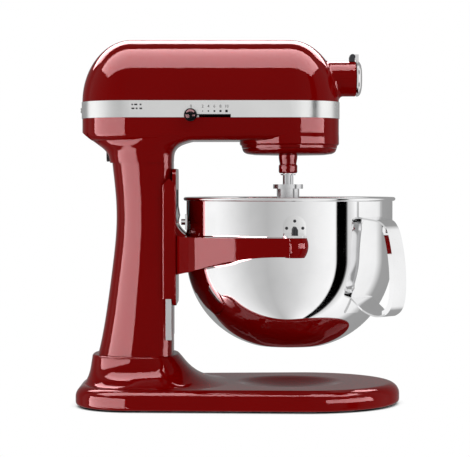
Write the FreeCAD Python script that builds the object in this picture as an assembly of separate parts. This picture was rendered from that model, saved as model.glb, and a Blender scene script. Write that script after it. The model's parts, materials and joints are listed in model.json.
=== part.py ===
"""Bowl-lift stand mixer, modelled in millimetres.

+Z is up and +X points to the front, where the attachment hub is.  Everything is drawn about
the bowl's vertical axis (x = 0) and moved forward by BOWL_AXIS_X when it is saved, so that the
origin of the saved part is the centre of its footprint, on the counter.

Each function below makes one sub-part.  The table at the end saves them, one file each.
"""
import FreeCAD
import Part

import math
import os

from FreeCAD import Vector

X_DIR = Vector(1, 0, 0)
Y_DIR = Vector(0, 1, 0)
Z_DIR = Vector(0, 0, 1)
ORIGIN = Vector(0, 0, 0)

# ---------------------------------------------------------------- driving dimensions
BOWL_AXIS_X = 59.0       # bowl axis, ahead of the middle of the footprint

HEAD_HALF_WIDTH = 57.0   # head, seen from above, is a stadium of this radius
HEAD_REAR_X = -181.5     # centre of its rear round end
HEAD_TOP_Z = 418.0
BAND_TOP_Z = 346.5
BAND_BOTTOM_Z = 327.5
SEAM_Z = 337.0           # upper and lower housings meet behind the trim band
TRAY_BOTTOM_Z = 302.0    # underside of the head between neck and gearcase
SHELL_WALL = 3.5
BAND_THICKNESS = 0.8

NOSE_RADIUS = 57.2       # round gearcase nose above the bowl
NOSE_BOTTOM_Z = 293.6
PLANETARY_RADIUS = 54.4
PLANETARY_BOTTOM_Z = 285.0

SEAM_NECK_Z = 276.8      # neck of the head sits on the column here
COLUMN_BOTTOM_Z = 57.4
COLUMN_FRONT_X = -133.8
COLUMN_HALF_WIDTH = 44.0
COLUMN_WALL = 5.0

BASE_BOTTOM_Z = 2.0
BASE_TOP_Z = 24.5
BASE_FRONT_RADIUS = 110.0
BASE_FRONT_X = 127.0
BASE_REAR_X = -244.0
BASE_REAR_HALF_WIDTH = 100.0
BASE_RIM_RADIUS = 13.0   # rounding of the plate's upper rim
DISH_RADIUS = 56.0
DISH_DEPTH = 8.0
DISH_LIP_RADIUS = 55.0
FOOT_RADIUS = 11.0
FOOT_HEIGHT = 4.0

BOWL_RADIUS = 118.7      # outside of the straight wall
BOWL_WALL = 1.2
BOWL_SHOULDER_Z = 169.0  # straight wall above, a large round below
BOWL_CORNER_RADIUS = 105.0
BOWL_FLAT_RADIUS = 38.0
BOWL_RIM_Z = 237.5
RIM_BEAD_RADIUS = 2.1

HANDLE_ANGLE = -43.5     # degrees from straight ahead, towards the speed-lever side
HANDLE_TAB_WIDTH = 36.6
HANDLE_GRIP_WIDTH = 22.0
HANDLE_SHEET = 1.8
HANDLE_FLANGE = 6.0

LIFT_TRAVEL = 46.0       # the yoke goes down by this much
YOKE_PLATE_BACK_X = -133.4
YOKE_PLATE_FRONT_X = -129.2
YOKE_PLATE_TOP_Z = 269.8
YOKE_PLATE_BOTTOM_Z = 114.8
YOKE_ARM_TOP_Z = 194.1
YOKE_ARM_ROOT_Z = 151.2
YOKE_BOSS_Z = 173.5
WING_INNER_Y = 48.9      # side wings wrap the guide rails
WING_OUTER_Y = 53.0
WING_SHOULDER_Z = 251.0
WING_PEAK_Z = 259.0
BOSS_RADIUS = 14.5
PIN_X = 2.3
PIN_OFFSET_Y = 129.0     # locating pins, either side of the bowl
PIN_RADIUS = 3.5
LUG_Y0 = -13.0           # lift lug, beside the crank
LUG_Y1 = -5.0

RAIL_BACK_X = -141.2     # guide rails at the column's front corners
RAIL_FRONT_X = -134.2
RAIL_BOTTOM_Z = 76.0
RAIL_TOP_Z = 250.0

LEVER_AXIS_X = -160.0
LEVER_AXIS_Z = 165.0
CRANK_ANGLE = 60.0       # crank points back, this far above level when the bowl is raised
CRANK_PIN_RADIUS = 3.5
CRANK_SLOT_PLAY = 2.3
LEVER_SHAFT_RADIUS = 6.0
BUSH_RADIUS = 8.5

BEATER_OFFSET = 28.0     # planet centre distance
BEATER_TURN = -4.7       # past the speed-lever side at rest, in degrees
BEATER_SHAFT_RADIUS = 6.0

MOTOR_AXIS_Z = 352.0
STATOR_RADIUS = 42.0
ROTOR_RADIUS = 23.0
MOTOR_SHAFT_RADIUS = 5.0

HUB_AXIS_Z = 373.6
HUB_RADIUS = 20.3
HUB_BORE_RADIUS = 15.6
HUB_MOUTH_X = 76.4
HUB_HINGE_X = 72.4
HUB_HINGE_Z = 398.6
HUB_ROOT_FILLET = 5.0

WORM_MODULE = 1.5
WORM_STARTS = 2
WORM_PITCH_RADIUS = 8.0
WORM_WHEEL_TEETH = 26
SPUR_MODULE = 1.5
TRANSFER_TEETH = 14
CENTRE_TEETH = 42
PLANET_MODULE = 1.4
PLANET_TEETH = 16
RING_TEETH = 56
BEVEL_TEETH = 16
BEVEL_RADIUS = 16.0

SPEED_KNOB_X = -112.4
SPEED_TRAVEL = 41.0
SPEED_SLOT_Z = 328.75
SPEED_SLOT_HEIGHT = 2.7
SPEED_KNOB_RADIUS = 7.4

GLAND_SEAT_X = -207.5    # mains-lead bush in the back of the neck
GLAND_Y = 14.0
GLAND_Z = 287.0
GLAND_RADIUS = 6.0
GLAND_FLANGE_RADIUS = 8.5

GEAR_CLEARANCE = 0.35    # each tooth is this much thinner than its space, in modules

# ---------------------------------------------------------------- derived places
WORM_CENTRE_DISTANCE = WORM_PITCH_RADIUS + WORM_MODULE * WORM_WHEEL_TEETH / 2
SPUR_CENTRE_DISTANCE = SPUR_MODULE * (TRANSFER_TEETH + CENTRE_TEETH) / 2
CRANK_RADIUS = LIFT_TRAVEL / 2 / math.sin(math.radians(CRANK_ANGLE))
BEATER_X = BEATER_OFFSET * math.sin(math.radians(BEATER_TURN))
BEATER_Y = -BEATER_OFFSET * math.cos(math.radians(BEATER_TURN))
TRANSFER_Y = WORM_CENTRE_DISTANCE
TRANSFER_X = -math.sqrt(SPUR_CENTRE_DISTANCE ** 2 - TRANSFER_Y ** 2)


# ---------------------------------------------------------------- small helpers
def box(x0, x1, y0, y1, z0, z1):
    return Part.makeBox(x1 - x0, y1 - y0, z1 - z0, Vector(x0, y0, z0))


def cylinder(radius, start, direction, length):
    return Part.makeCylinder(radius, length, start, direction)


def tube(outer, inner, start, direction, length):
    return cylinder(outer, start, direction, length).cut(cylinder(inner, start, direction, length))


def fuse(shapes):
    whole = shapes[0]
    for shape in shapes[1:]:
        whole = whole.fuse(shape)
    return whole.removeSplitter()


def mirrored_y(shape):
    return shape.mirror(ORIGIN, Y_DIR)


def both_sides(shape):
    return Part.makeCompound([shape, mirrored_y(shape)])


def turned(shape, angle, centre=ORIGIN, axis=Z_DIR):
    copy = shape.copy()
    copy.rotate(centre, axis, angle)
    return copy


def moved(shape, x=0.0, y=0.0, z=0.0):
    copy = shape.copy()
    copy.translate(Vector(x, y, z))
    return copy


def rounded(shape, radius, chooser):
    """Fillets the edges that chooser picks, and gives the shape back unchanged if none can be."""
    edges = [e for e in shape.Edges if chooser(e)]
    if not edges:
        return shape
    try:
        made = shape.makeFillet(radius, edges)
    except Exception:
        return shape
    return made if made.isValid() and made.Volume > 0 else shape


def edge_at_z(z, tolerance=0.05):
    def chooser(edge):
        limits = edge.BoundBox
        return abs(limits.ZMin - z) < tolerance and abs(limits.ZMax - z) < tolerance
    return chooser


def upright_edge(edge):
    limits = edge.BoundBox
    return limits.ZLength > 1 and limits.XLength < 0.01 and limits.YLength < 0.01


def revolved(points, axis_x=0.0, axis_y=0.0):
    """A closed profile of (radius, z) points, straight between them, turned about a vertical axis."""
    corners = [Vector(axis_x + r, axis_y, z) for r, z in points]
    face = Part.Face(Part.makePolygon(corners + corners[:1]))
    return face.revolve(Vector(axis_x, axis_y, 0), Z_DIR, 360)


def revolved_about_x(points, axis_z, axis_y=0.0):
    """A closed profile of (x, radius) points turned about a line along X."""
    corners = [Vector(x, axis_y, axis_z + r) for x, r in points]
    face = Part.Face(Part.makePolygon(corners + corners[:1]))
    return face.revolve(Vector(0, axis_y, axis_z), X_DIR, 360)


def stadium(radius, z0, z1):
    """Upright solid with the head's plan: two round ends joined by straight sides."""
    front = cylinder(radius, Vector(0, 0, z0), Z_DIR, z1 - z0)
    rear = cylinder(radius, Vector(HEAD_REAR_X, 0, z0), Z_DIR, z1 - z0)
    return fuse([front, rear, box(HEAD_REAR_X, 0, -radius, radius, z0, z1)])


def oval_wire(z, rear, front, half_width, boxy_front=6.0, boxy_rear=2.3, samples=40):
    """Closed smooth section: an oval that is squarer in front than behind."""
    middle = front - min(half_width * 0.8, (front - rear) * 0.45)
    points = []
    for i in range(samples):
        angle = 2 * math.pi * i / samples
        c, s = math.cos(angle), math.sin(angle)
        power = 2 / (boxy_front if c > 0 else boxy_rear)
        reach = (front - middle) if c > 0 else (middle - rear)
        x = middle + reach * math.copysign(abs(c) ** power, c)
        y = half_width * math.copysign(abs(s) ** power, s)
        points.append(Vector(x, y, z))
    curve = Part.BSplineCurve()
    curve.interpolate(points, PeriodicFlag=True)
    return Part.Wire(curve.toShape())


def oval_loft(sections, inset=0.0):
    """Solid through (z, rear, front, half width) sections, optionally drawn in by a wall."""
    wires = [oval_wire(z, rear + inset, front - inset, half - inset)
             for z, rear, front, half in sections]
    return Part.makeLoft(wires, True, False)


def stadium_loft_wire(z, rear, front, half_width):
    """Closed smooth section whose front and rear are both round."""
    return oval_wire(z, rear, front, half_width, boxy_front=2.6, boxy_rear=2.6)


# ---------------------------------------------------------------- gears
def gear_outline(teeth, module, z=0.0, internal=False, tip=0.75, root=1.0):
    """Straight-flanked teeth about the origin, as a wire; the first tooth is on +X."""
    pitch = teeth * module / 2
    step = 2 * math.pi / teeth
    half_at_pitch = step * (0.25 - GEAR_CLEARANCE / 2 / math.pi / 2)
    slope = 0.36 * module / pitch
    if internal:
        inner, outer = pitch - tip * module, pitch + root * module
        narrow, wide = half_at_pitch - slope * tip * 0.6, half_at_pitch + slope * root
        radii = (outer, inner, inner, outer)
        offsets = (-wide, -narrow, narrow, wide)
    else:
        inner, outer = pitch - root * module, pitch + tip * module
        narrow, wide = half_at_pitch - slope * tip, half_at_pitch + slope * root * 0.8
        radii = (inner, outer, outer, inner)
        offsets = (-wide, -narrow, narrow, wide)
    points = []
    for i in range(teeth):
        for radius, offset in zip(radii, offsets):
            angle = i * step + offset
            points.append(Vector(radius * math.cos(angle), radius * math.sin(angle), z))
    return Part.makePolygon(points + points[:1])


def spur_gear(teeth, module, z0, height, phase=0.0):
    solid = Part.Face(gear_outline(teeth, module, z0)).extrude(Vector(0, 0, height))
    return turned(solid, phase)


def bevel_gear(pitch_radius, teeth, apex_z, face_share=0.36):
    """Mitre gear on +Z, below its apex, its teeth drawn to the apex."""
    outer_plane = apex_z - pitch_radius
    module = 2 * pitch_radius / teeth
    big = gear_outline(teeth, module, outer_plane, tip=0.95, root=1.05)
    shrink = FreeCAD.Matrix()
    small_scale = 1 - face_share
    shrink.scale(small_scale, small_scale, small_scale)
    small = big.copy()
    small.translate(Vector(0, 0, -apex_z))
    small = small.transformGeometry(shrink)
    small.translate(Vector(0, 0, apex_z))
    return Part.makeLoft([big, small], True, True)


# ---------------------------------------------------------------- head
def head_dome(radius, height):
    """Upper half of a capsule of the head's plan, stretched upwards to the given height."""
    front = Part.makeSphere(radius, ORIGIN, Z_DIR, 0, 90, 360)
    rear = Part.makeSphere(radius, Vector(HEAD_REAR_X, 0, 0), Z_DIR, 0, 90, 360)
    arch = cylinder(radius, Vector(HEAD_REAR_X, 0, 0), X_DIR, -HEAD_REAR_X)
    arch = arch.common(box(HEAD_REAR_X, 0, -radius, radius, 0, radius))
    stretch = FreeCAD.Matrix()
    stretch.scale(1, 1, height / radius)
    parts = [front.common(box(0, radius, -radius, radius, 0, radius)),
             rear.common(box(HEAD_REAR_X - radius, HEAD_REAR_X, -radius, radius, 0, radius)),
             arch]
    dome = fuse([p.transformGeometry(stretch) for p in parts])
    return moved(dome, z=BAND_TOP_Z)


def upper_housing():
    dome_height = HEAD_TOP_Z - BAND_TOP_Z
    outer = fuse([head_dome(HEAD_HALF_WIDTH, dome_height),
                  stadium(HEAD_HALF_WIDTH, SEAM_Z, BAND_TOP_Z)])
    inner_radius = HEAD_HALF_WIDTH - SHELL_WALL
    inner = fuse([head_dome(inner_radius, dome_height - SHELL_WALL),
                  stadium(inner_radius, SEAM_Z - 1, BAND_TOP_Z)])
    shell = outer.cut(inner)
    return shell.cut(cylinder(HUB_RADIUS + 0.1, Vector(20, 0, HUB_AXIS_Z), X_DIR, 80))


def neck_sections():
    return [(SEAM_NECK_Z, -206.5, -134.0, 46.5),
            (285.6, -208.8, -133.4, 47.2),
            (292.2, -213.5, -131.0, 48.8),
            (296.6, -219.0, -126.0, 50.8),
            (300.0, -223.5, -117.5, 52.6),
            (303.5, -229.0, -104.0, 54.2),
            (309.5, -234.8, -86.0, 55.6)]


REAR_SLOPE_TOP = Vector(-238.6, 0, 312.0)      # flat sloping face under the head's rear end
REAR_SLOPE_BOTTOM = Vector(-213.5, 0, 292.0)


def rear_slope_waste():
    """What the sloping face under the rear end cuts away."""
    run = REAR_SLOPE_BOTTOM - REAR_SLOPE_TOP
    corners = [REAR_SLOPE_TOP - run * 0.5, REAR_SLOPE_TOP + run * 0.985,
               Vector(REAR_SLOPE_BOTTOM.x - 60, 0, REAR_SLOPE_BOTTOM.z + 0.3)]
    return moved(Part.Face(Part.makePolygon(corners + corners[:1])).extrude(Vector(0, 140, 0)), y=-70)


def vent_slots():
    """A row of cooling slots through the sloping face under the rear end."""
    middle = (REAR_SLOPE_TOP + REAR_SLOPE_BOTTOM) * 0.5
    run = REAR_SLOPE_BOTTOM - REAR_SLOPE_TOP
    slope = math.degrees(math.atan2(-run.z, run.x))
    slots = []
    count = 9
    for i in range(count):
        y = (i - (count - 1) / 2) * 7.0
        slot = turned(box(-9, 9, -1.6, 1.6, -9, 9), slope, ORIGIN, Y_DIR)
        slots.append(moved(slot, middle.x, y, middle.z))
    return slots


def lower_housing():
    fillet = 9.0
    tray = stadium(HEAD_HALF_WIDTH, TRAY_BOTTOM_Z, SEAM_Z)
    tray = rounded(tray, fillet, edge_at_z(TRAY_BOTTOM_Z))
    neck = oval_loft(neck_sections())
    nose = revolved([(0, 312.5), (NOSE_RADIUS - 0.3, 312.5), (NOSE_RADIUS, 306.0), (NOSE_RADIUS, 298.4),
                     (NOSE_RADIUS - 1.0, 296.9), (NOSE_RADIUS - 2.0, 296.6),
                     (NOSE_RADIUS - 2.4, NOSE_BOTTOM_Z), (0, NOSE_BOTTOM_Z)])
    outer = fuse([tray, neck]).cut(rear_slope_waste())
    outer = fuse([outer, nose])
    inner_radius = HEAD_HALF_WIDTH - SHELL_WALL
    cavity = stadium(inner_radius, TRAY_BOTTOM_Z + 5, SEAM_Z + 1)
    neck_cavity = oval_loft(neck_sections(), inset=6.0)
    throat = cylinder(50.0, Vector(0, 0, NOSE_BOTTOM_Z - 1), Z_DIR, 30)
    body = outer.cut(cavity).cut(neck_cavity).cut(throat)
    body = body.cut(Part.makeCompound(vent_slots()))
    body = body.cut(speed_slot(-60, -45))
    return body.cut(gland_opening())


def gland_opening():
    """Stepped hole for the bush, with a flat seat for each of its flanges."""
    outer_seat = cylinder(GLAND_FLANGE_RADIUS + 0.1, Vector(-240, GLAND_Y, GLAND_Z), X_DIR, 240 + GLAND_SEAT_X)
    hole = cylinder(GLAND_RADIUS + 0.05, Vector(-240, GLAND_Y, GLAND_Z), X_DIR, 50)
    inner_seat = cylinder(GLAND_FLANGE_RADIUS + 0.1, Vector(GLAND_SEAT_X + 3.05, GLAND_Y, GLAND_Z), X_DIR, 12)
    return fuse([outer_seat, hole, inner_seat])


def speed_slot(y0, y1):
    end = 4.0
    return box(SPEED_KNOB_X - end, SPEED_KNOB_X + SPEED_TRAVEL + end, y0, y1,
               SPEED_SLOT_Z - SPEED_SLOT_HEIGHT / 2, SPEED_SLOT_Z + SPEED_SLOT_HEIGHT / 2)


def trim_band():
    inner = HEAD_HALF_WIDTH + 0.02
    outer = HEAD_HALF_WIDTH + BAND_THICKNESS
    ring = stadium(outer, BAND_BOTTOM_Z, BAND_TOP_Z).cut(
        stadium(inner, BAND_BOTTOM_Z - 1, BAND_TOP_Z + 1))
    rear_joint = box(-260, -200, -0.4, 0.4, 300, 360)
    below_slot = box(SPEED_KNOB_X - 4, SPEED_KNOB_X + SPEED_TRAVEL + 4, -60, -50,
                     BAND_BOTTOM_Z - 1, SPEED_SLOT_Z + SPEED_SLOT_HEIGHT / 2)
    return ring.cut(rear_joint).cut(below_slot)


def band_screws():
    """Two small countersunk screws that close the trim band at the rear."""
    rear = HEAD_REAR_X - HEAD_HALF_WIDTH - BAND_THICKNESS
    screws = []
    for angle in (-5.0, 5.0):
        head = cylinder(2.6, Vector(rear - 1.2, 0, (BAND_TOP_Z + BAND_BOTTOM_Z) / 2), X_DIR, 1.15)
        slot = box(rear - 1.5, rear - 0.7, -3, 3, 336.6, 337.4)
        screws.append(turned(head.cut(slot), angle, Vector(HEAD_REAR_X, 0, 0)))
    return Part.makeCompound(screws)


def cord_gland():
    """Bush in the back of the neck for the mains lead."""
    flange = tube(GLAND_FLANGE_RADIUS, 4.0, Vector(GLAND_SEAT_X - 4.0, GLAND_Y, GLAND_Z), X_DIR, 4.0)
    body = tube(GLAND_RADIUS, 4.0, Vector(GLAND_SEAT_X, GLAND_Y, GLAND_Z), X_DIR, 3.1)
    inner_flange = tube(GLAND_FLANGE_RADIUS - 1, 4.0, Vector(GLAND_SEAT_X + 3.1, GLAND_Y, GLAND_Z), X_DIR, 2.0)
    return fuse([flange, body, inner_flange])


# ---------------------------------------------------------------- hub
def hub_root():
    """Rounded skirt where the snout grows out of the head."""
    dome = head_dome(HEAD_HALF_WIDTH, HEAD_TOP_Z - BAND_TOP_Z).common(box(10, 80, -40, 40, 300, 420))
    snout = cylinder(HUB_RADIUS, Vector(20, 0, HUB_AXIS_Z), X_DIR, HUB_MOUTH_X - 22)
    joined = dome.fuse(snout)
    root_edges = [e for e in joined.Edges if e.BoundBox.XMin > 30 and e.BoundBox.XMax < 60
                  and e.BoundBox.YLength > 5 and e.BoundBox.ZLength > 5 and e.BoundBox.XLength > 2]
    blended = joined.makeFillet(HUB_ROOT_FILLET, root_edges)
    around = cylinder(HUB_RADIUS + 9, Vector(20, 0, HUB_AXIS_Z), X_DIR, HUB_MOUTH_X - 22.1)
    return blended.cut(dome).common(around)


def attachment_hub():
    """Round snout above the bowl, with the bore that accessories slide into."""
    snout = revolved_about_x([(24, HUB_RADIUS - 3), (40, HUB_RADIUS - 3), (40, HUB_RADIUS),
                              (HUB_MOUTH_X - 1, HUB_RADIUS), (HUB_MOUTH_X, HUB_RADIUS - 1),
                              (HUB_MOUTH_X, HUB_BORE_RADIUS), (44, HUB_BORE_RADIUS),
                              (44, 13.0), (34, 13.0), (34, 9.6), (24, 9.6)], HUB_AXIS_Z)
    root = hub_root().cut(cylinder(HUB_RADIUS - 1, Vector(20, 0, HUB_AXIS_Z), X_DIR, 80))
    knob_hole = cylinder(4.1, Vector(62, 0, HUB_AXIS_Z), Y_DIR, 30)
    return fuse([snout, root]).cut(knob_hole)


def hub_hinge_bracket():
    """Two ears and a pin on top of the snout that the cover swings on."""
    ears = []
    for y in (-7.0, 4.0):
        ear = box(HUB_HINGE_X - 3.5, HUB_HINGE_X + 2.5, y, y + 3.0, 393.2, HUB_HINGE_Z)
        ear = fuse([ear, cylinder(3.2, Vector(HUB_HINGE_X, y, HUB_HINGE_Z), Y_DIR, 3.0)])
        ears.append(ear)
    pin = cylinder(1.5, Vector(HUB_HINGE_X, -7.6, HUB_HINGE_Z), Y_DIR, 15.2)
    bracket = fuse(ears + [pin])
    return bracket.cut(cylinder(HUB_RADIUS + 0.02, Vector(50, 0, HUB_AXIS_Z), X_DIR, 60))


def hub_cover():
    """Dished round lid over the bore, with its hinge lug on top."""
    mouth, rim = HUB_MOUTH_X, HUB_RADIUS
    lid = revolved_about_x([(mouth + 0.4, rim), (mouth + 2.2, rim), (mouth + 3.2, rim - 0.4),
                            (mouth + 4.6, rim - 1.8), (mouth + 5.8, rim - 4.2), (mouth + 6.6, rim - 8.0),
                            (mouth + 7.0, 5.0), (mouth + 7.0, 0), (mouth + 5.2, 0), (mouth + 5.2, 5.0),
                            (mouth + 4.6, 12.0), (mouth + 3.2, 16.5), (mouth + 0.4, 17.5)], HUB_AXIS_Z)
    lug = box(HUB_HINGE_X, HUB_MOUTH_X + 3.2, -3.6, 3.6, 394.6, HUB_HINGE_Z + 3.0)
    eye = cylinder(3.4, Vector(HUB_HINGE_X, -3.6, HUB_HINGE_Z), Y_DIR, 7.2)
    lug = lug.common(box(HUB_HINGE_X, 100, -5, 5, 395.2, 410))
    strap = box(HUB_MOUTH_X + 0.6, HUB_MOUTH_X + 3.2, -3.6, 3.6, 390.0, 398.0)
    cover = fuse([lid, lug, eye, strap])
    cover = cover.cut(cylinder(1.6, Vector(HUB_HINGE_X, -10, HUB_HINGE_Z), Y_DIR, 20))
    return cover


def hub_knob():
    """Screw knob on the far side of the hub that clamps an accessory's shank."""
    head = cylinder(10.5, Vector(62, 25.5, HUB_AXIS_Z), Y_DIR, 13.0)
    flutes = [cylinder(2.0, Vector(62 + 11.6 * math.cos(a), 24, HUB_AXIS_Z + 11.6 * math.sin(a)), Y_DIR, 16)
              for a in (2 * math.pi * i / 10 for i in range(10))]
    return head.cut(Part.makeCompound(flutes))


def hub_knob_screw():
    shank = cylinder(3.9, Vector(62, 16.2, HUB_AXIS_Z), Y_DIR, 9.3)
    washer = tube(6.5, 3.9, Vector(62, 22.8, HUB_AXIS_Z), Y_DIR, 2.7)
    return fuse([shank, washer])


# ---------------------------------------------------------------- column and base
def column_sections():
    front = COLUMN_FRONT_X
    half = COLUMN_HALF_WIDTH
    return [(COLUMN_BOTTOM_Z, -220.4, front, half + 5.0),
            (87.0, -214.1, front, half + 2.6),
            (128.0, -207.8, front, half + 0.8),
            (170.0, -202.4, front, half),
            (215.0, -199.2, front, half - 1.0),
            (245.0, -200.6, front, half - 0.4),
            (SEAM_NECK_Z, -204.0, front, half + 1.0)]


def rail_block(grow=0.0):
    """One straight steel guide rail at a front corner of the column."""
    return box(RAIL_BACK_X - grow, RAIL_FRONT_X + grow, 40.5 - grow, 48.5 + grow, RAIL_BOTTOM_Z, RAIL_TOP_Z)


def guide_rails():
    rail = rounded(rail_block(), 1.0, upright_edge)
    return both_sides(rail)


def lug_window():
    """Opening in the column's front wall for the lug behind the yoke."""
    return box(-150, -120, LUG_Y0 - 4, LUG_Y1 + 4, 114, 216)


def column():
    solid = oval_loft(column_sections())
    hollow = oval_loft([(z + (-1 if i == 0 else 1 if i == 6 else 0), r, f, h)
                        for i, (z, r, f, h) in enumerate(column_sections())], inset=COLUMN_WALL)
    boss = cylinder(13.0, Vector(LEVER_AXIS_X, 9.0, LEVER_AXIS_Z), Y_DIR, 34.0)
    post = box(RAIL_BACK_X - 1.5, COLUMN_FRONT_X, 34.0, 42.0, RAIL_BOTTOM_Z, RAIL_TOP_Z)
    body = solid.cut(hollow).fuse(boss.common(solid))
    body = body.fuse(both_sides(post).common(solid)).removeSplitter()
    body = body.common(box(-300, COLUMN_FRONT_X, -100, 100, 0, 400))
    body = body.cut(both_sides(rail_block(0.02)))
    body = body.cut(lug_window())
    return body.cut(cylinder(BUSH_RADIUS, Vector(LEVER_AXIS_X, 0, LEVER_AXIS_Z), Y_DIR, 60.0))


def lever_bushes():
    bore = LEVER_SHAFT_RADIUS + 0.05
    outer = tube(BUSH_RADIUS - 0.02, bore, Vector(LEVER_AXIS_X, 34.0, LEVER_AXIS_Z), Y_DIR, 12.0)
    collar = tube(11.0, bore, Vector(LEVER_AXIS_X, 45.2, LEVER_AXIS_Z), Y_DIR, 2.4)
    inner = tube(BUSH_RADIUS - 0.02, bore, Vector(LEVER_AXIS_X, 9.2, LEVER_AXIS_Z), Y_DIR, 12.0)
    return Part.makeCompound([fuse([outer, collar]), inner])


def base_outline(grow=0.0):
    """Flat base plan: round in front, slightly narrower and round-cornered behind."""
    radius = BASE_FRONT_RADIUS + grow
    centre_x = BASE_FRONT_X - BASE_FRONT_RADIUS
    rear = BASE_REAR_X - grow
    half = BASE_REAR_HALF_WIDTH + grow
    corner = 66.0
    drop = corner * (1 - math.sqrt(0.5))
    front = Part.Arc(Vector(centre_x, radius, 0), Vector(centre_x + radius, 0, 0),
                     Vector(centre_x, -radius, 0)).toShape()
    right = Part.makeLine(Vector(centre_x, -radius, 0), Vector(rear + corner, -half, 0))
    right_corner = Part.Arc(Vector(rear + corner, -half, 0), Vector(rear + drop, -half + drop, 0),
                            Vector(rear, -half + corner, 0)).toShape()
    back = Part.makeLine(Vector(rear, -half + corner, 0), Vector(rear, half - corner, 0))
    left_corner = Part.Arc(Vector(rear, half - corner, 0), Vector(rear + drop, half - drop, 0),
                           Vector(rear + corner, half, 0)).toShape()
    left = Part.makeLine(Vector(rear + corner, half, 0), Vector(centre_x, radius, 0))
    return Part.Wire([front, right, right_corner, back, left_corner, left])


def pedestal_sections():
    return [(20.0, -238.5, -62.0, 92.0),
            (24.3, -236.0, -70.0, 86.0),
            (25.6, -234.9, -80.0, 81.5),
            (28.6, -233.3, -91.5, 75.0),
            (33.0, -231.4, -102.0, 68.0),
            (38.5, -229.8, -110.5, 62.0),
            (45.0, -228.6, -117.5, 57.8),
            (51.5, -227.6, -123.0, 55.4),
            (COLUMN_BOTTOM_Z, -226.8, -128.2, 54.0)]


def base():
    plate = Part.Face(base_outline()).extrude(Vector(0, 0, BASE_TOP_Z - BASE_BOTTOM_Z))
    plate = moved(plate, z=BASE_BOTTOM_Z)
    plate = rounded(plate, BASE_RIM_RADIUS, edge_at_z(BASE_TOP_Z))
    plate = rounded(plate, 4.0, edge_at_z(BASE_BOTTOM_Z))
    wires = [stadium_loft_wire(*s) for s in pedestal_sections()]
    pedestal = Part.makeLoft(wires, True, False)
    pedestal = rounded(pedestal, 3.0, edge_at_z(COLUMN_BOTTOM_Z))
    body = fuse([plate, pedestal])
    sphere_radius = (DISH_RADIUS ** 2 + DISH_DEPTH ** 2) / 2 / DISH_DEPTH
    dish = Part.makeSphere(sphere_radius, Vector(0, 0, BASE_TOP_Z - DISH_DEPTH + sphere_radius))
    body = body.cut(dish)
    body = rounded(body, DISH_LIP_RADIUS, lambda e: edge_at_z(BASE_TOP_Z)(e)
                   and e.BoundBox.XMax < DISH_RADIUS + 1
                   and e.BoundBox.XMin > -DISH_RADIUS - 1)
    well = oval_loft([(BASE_BOTTOM_Z - 1, -216, -140, 44), (52.0, -214, -142, 42)])
    body = body.cut(well).cut(base_recess())
    pockets = [cylinder(FOOT_RADIUS + 0.02, Vector(x, y, BASE_BOTTOM_Z - 1), Z_DIR, 3.0)
               for x, y in foot_places()]
    bolt_holes = [cylinder(3.2, Vector(x, y, 40), Z_DIR, 30) for x, y in column_bolt_places()]
    return body.cut(Part.makeCompound(pockets + bolt_holes))


def base_recess():
    """Shallow hollow under the base, crossed by ribs and by the bosses of the feet."""
    top = 10.5
    hollow = Part.Face(base_outline(-10)).extrude(Vector(0, 0, top))
    bosses = [cylinder(FOOT_RADIUS + 4, Vector(x, y, 0), Z_DIR, top) for x, y in foot_places()]
    ribs = [box(-250, 130, y - 2, y + 2, 0, top) for y in (-52, 0, 52)]
    ribs += [box(x - 2, x + 2, -110, 110, 0, top) for x in (-226, -128, -28, 60)]
    return hollow.cut(Part.makeCompound(ribs)).cut(Part.makeCompound(bosses))


def foot_places():
    return [(-205, -68), (-205, 68), (60, -78), (60, 78), (-78, 0)]


def feet():
    pads = []
    for x, y in foot_places():
        pad = cylinder(FOOT_RADIUS, Vector(x, y, 0), Z_DIR, FOOT_HEIGHT)
        pads.append(rounded(pad, 0.8, edge_at_z(0)))
    return Part.makeCompound(pads)


def column_bolt_places():
    return [(-206, -16), (-206, 16), (-150, -27), (-150, 27)]


def column_bolts():
    """Four hexagon-headed bolts, up through the base into the column's foot."""
    bolts = []
    for x, y in column_bolt_places():
        corners = [Vector(x + 5.8 * math.cos(math.pi * k / 3), y + 5.8 * math.sin(math.pi * k / 3), 46.4)
                   for k in range(6)]
        head = Part.Face(Part.makePolygon(corners + corners[:1])).extrude(Vector(0, 0, 5.5))
        bolts.append(fuse([head, cylinder(3.0, Vector(x, y, 51.9), Z_DIR, 22)]))
    return Part.makeCompound(bolts)


def column_foot():
    """Internal flange of the column that takes the four bolts."""
    plate = oval_loft([(COLUMN_BOTTOM_Z + 0.2, -220.0, COLUMN_FRONT_X, 48.8),
                       (COLUMN_BOTTOM_Z + 12.2, -217.4, COLUMN_FRONT_X, 47.8)], inset=COLUMN_WALL + 0.6)
    holes = [cylinder(3.1, Vector(x, y, 50), Z_DIR, 40) for x, y in column_bolt_places()]
    return plate.cut(Part.makeCompound(holes))


# ---------------------------------------------------------------- yoke that carries the bowl
def yoke_arm_plan():
    """One arm of the yoke from above, as a closed outline on the -Y side."""
    outer = [Vector(YOKE_PLATE_FRONT_X, 0, 0), Vector(YOKE_PLATE_FRONT_X, -48, 0),
             Vector(-113.5, -112, 0), Vector(-106.5, -120.6, 0), Vector(-4, -142.9, 0),
             Vector(10, -132, 0), Vector(10, -121.8, 0), Vector(-10, -121.4, 0),
             Vector(-96, -107.5, 0), Vector(-103, -100, 0), Vector(-119, -45, 0), Vector(-121, 0, 0)]
    return Part.Face(Part.makePolygon(outer + outer[:1]))


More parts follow.
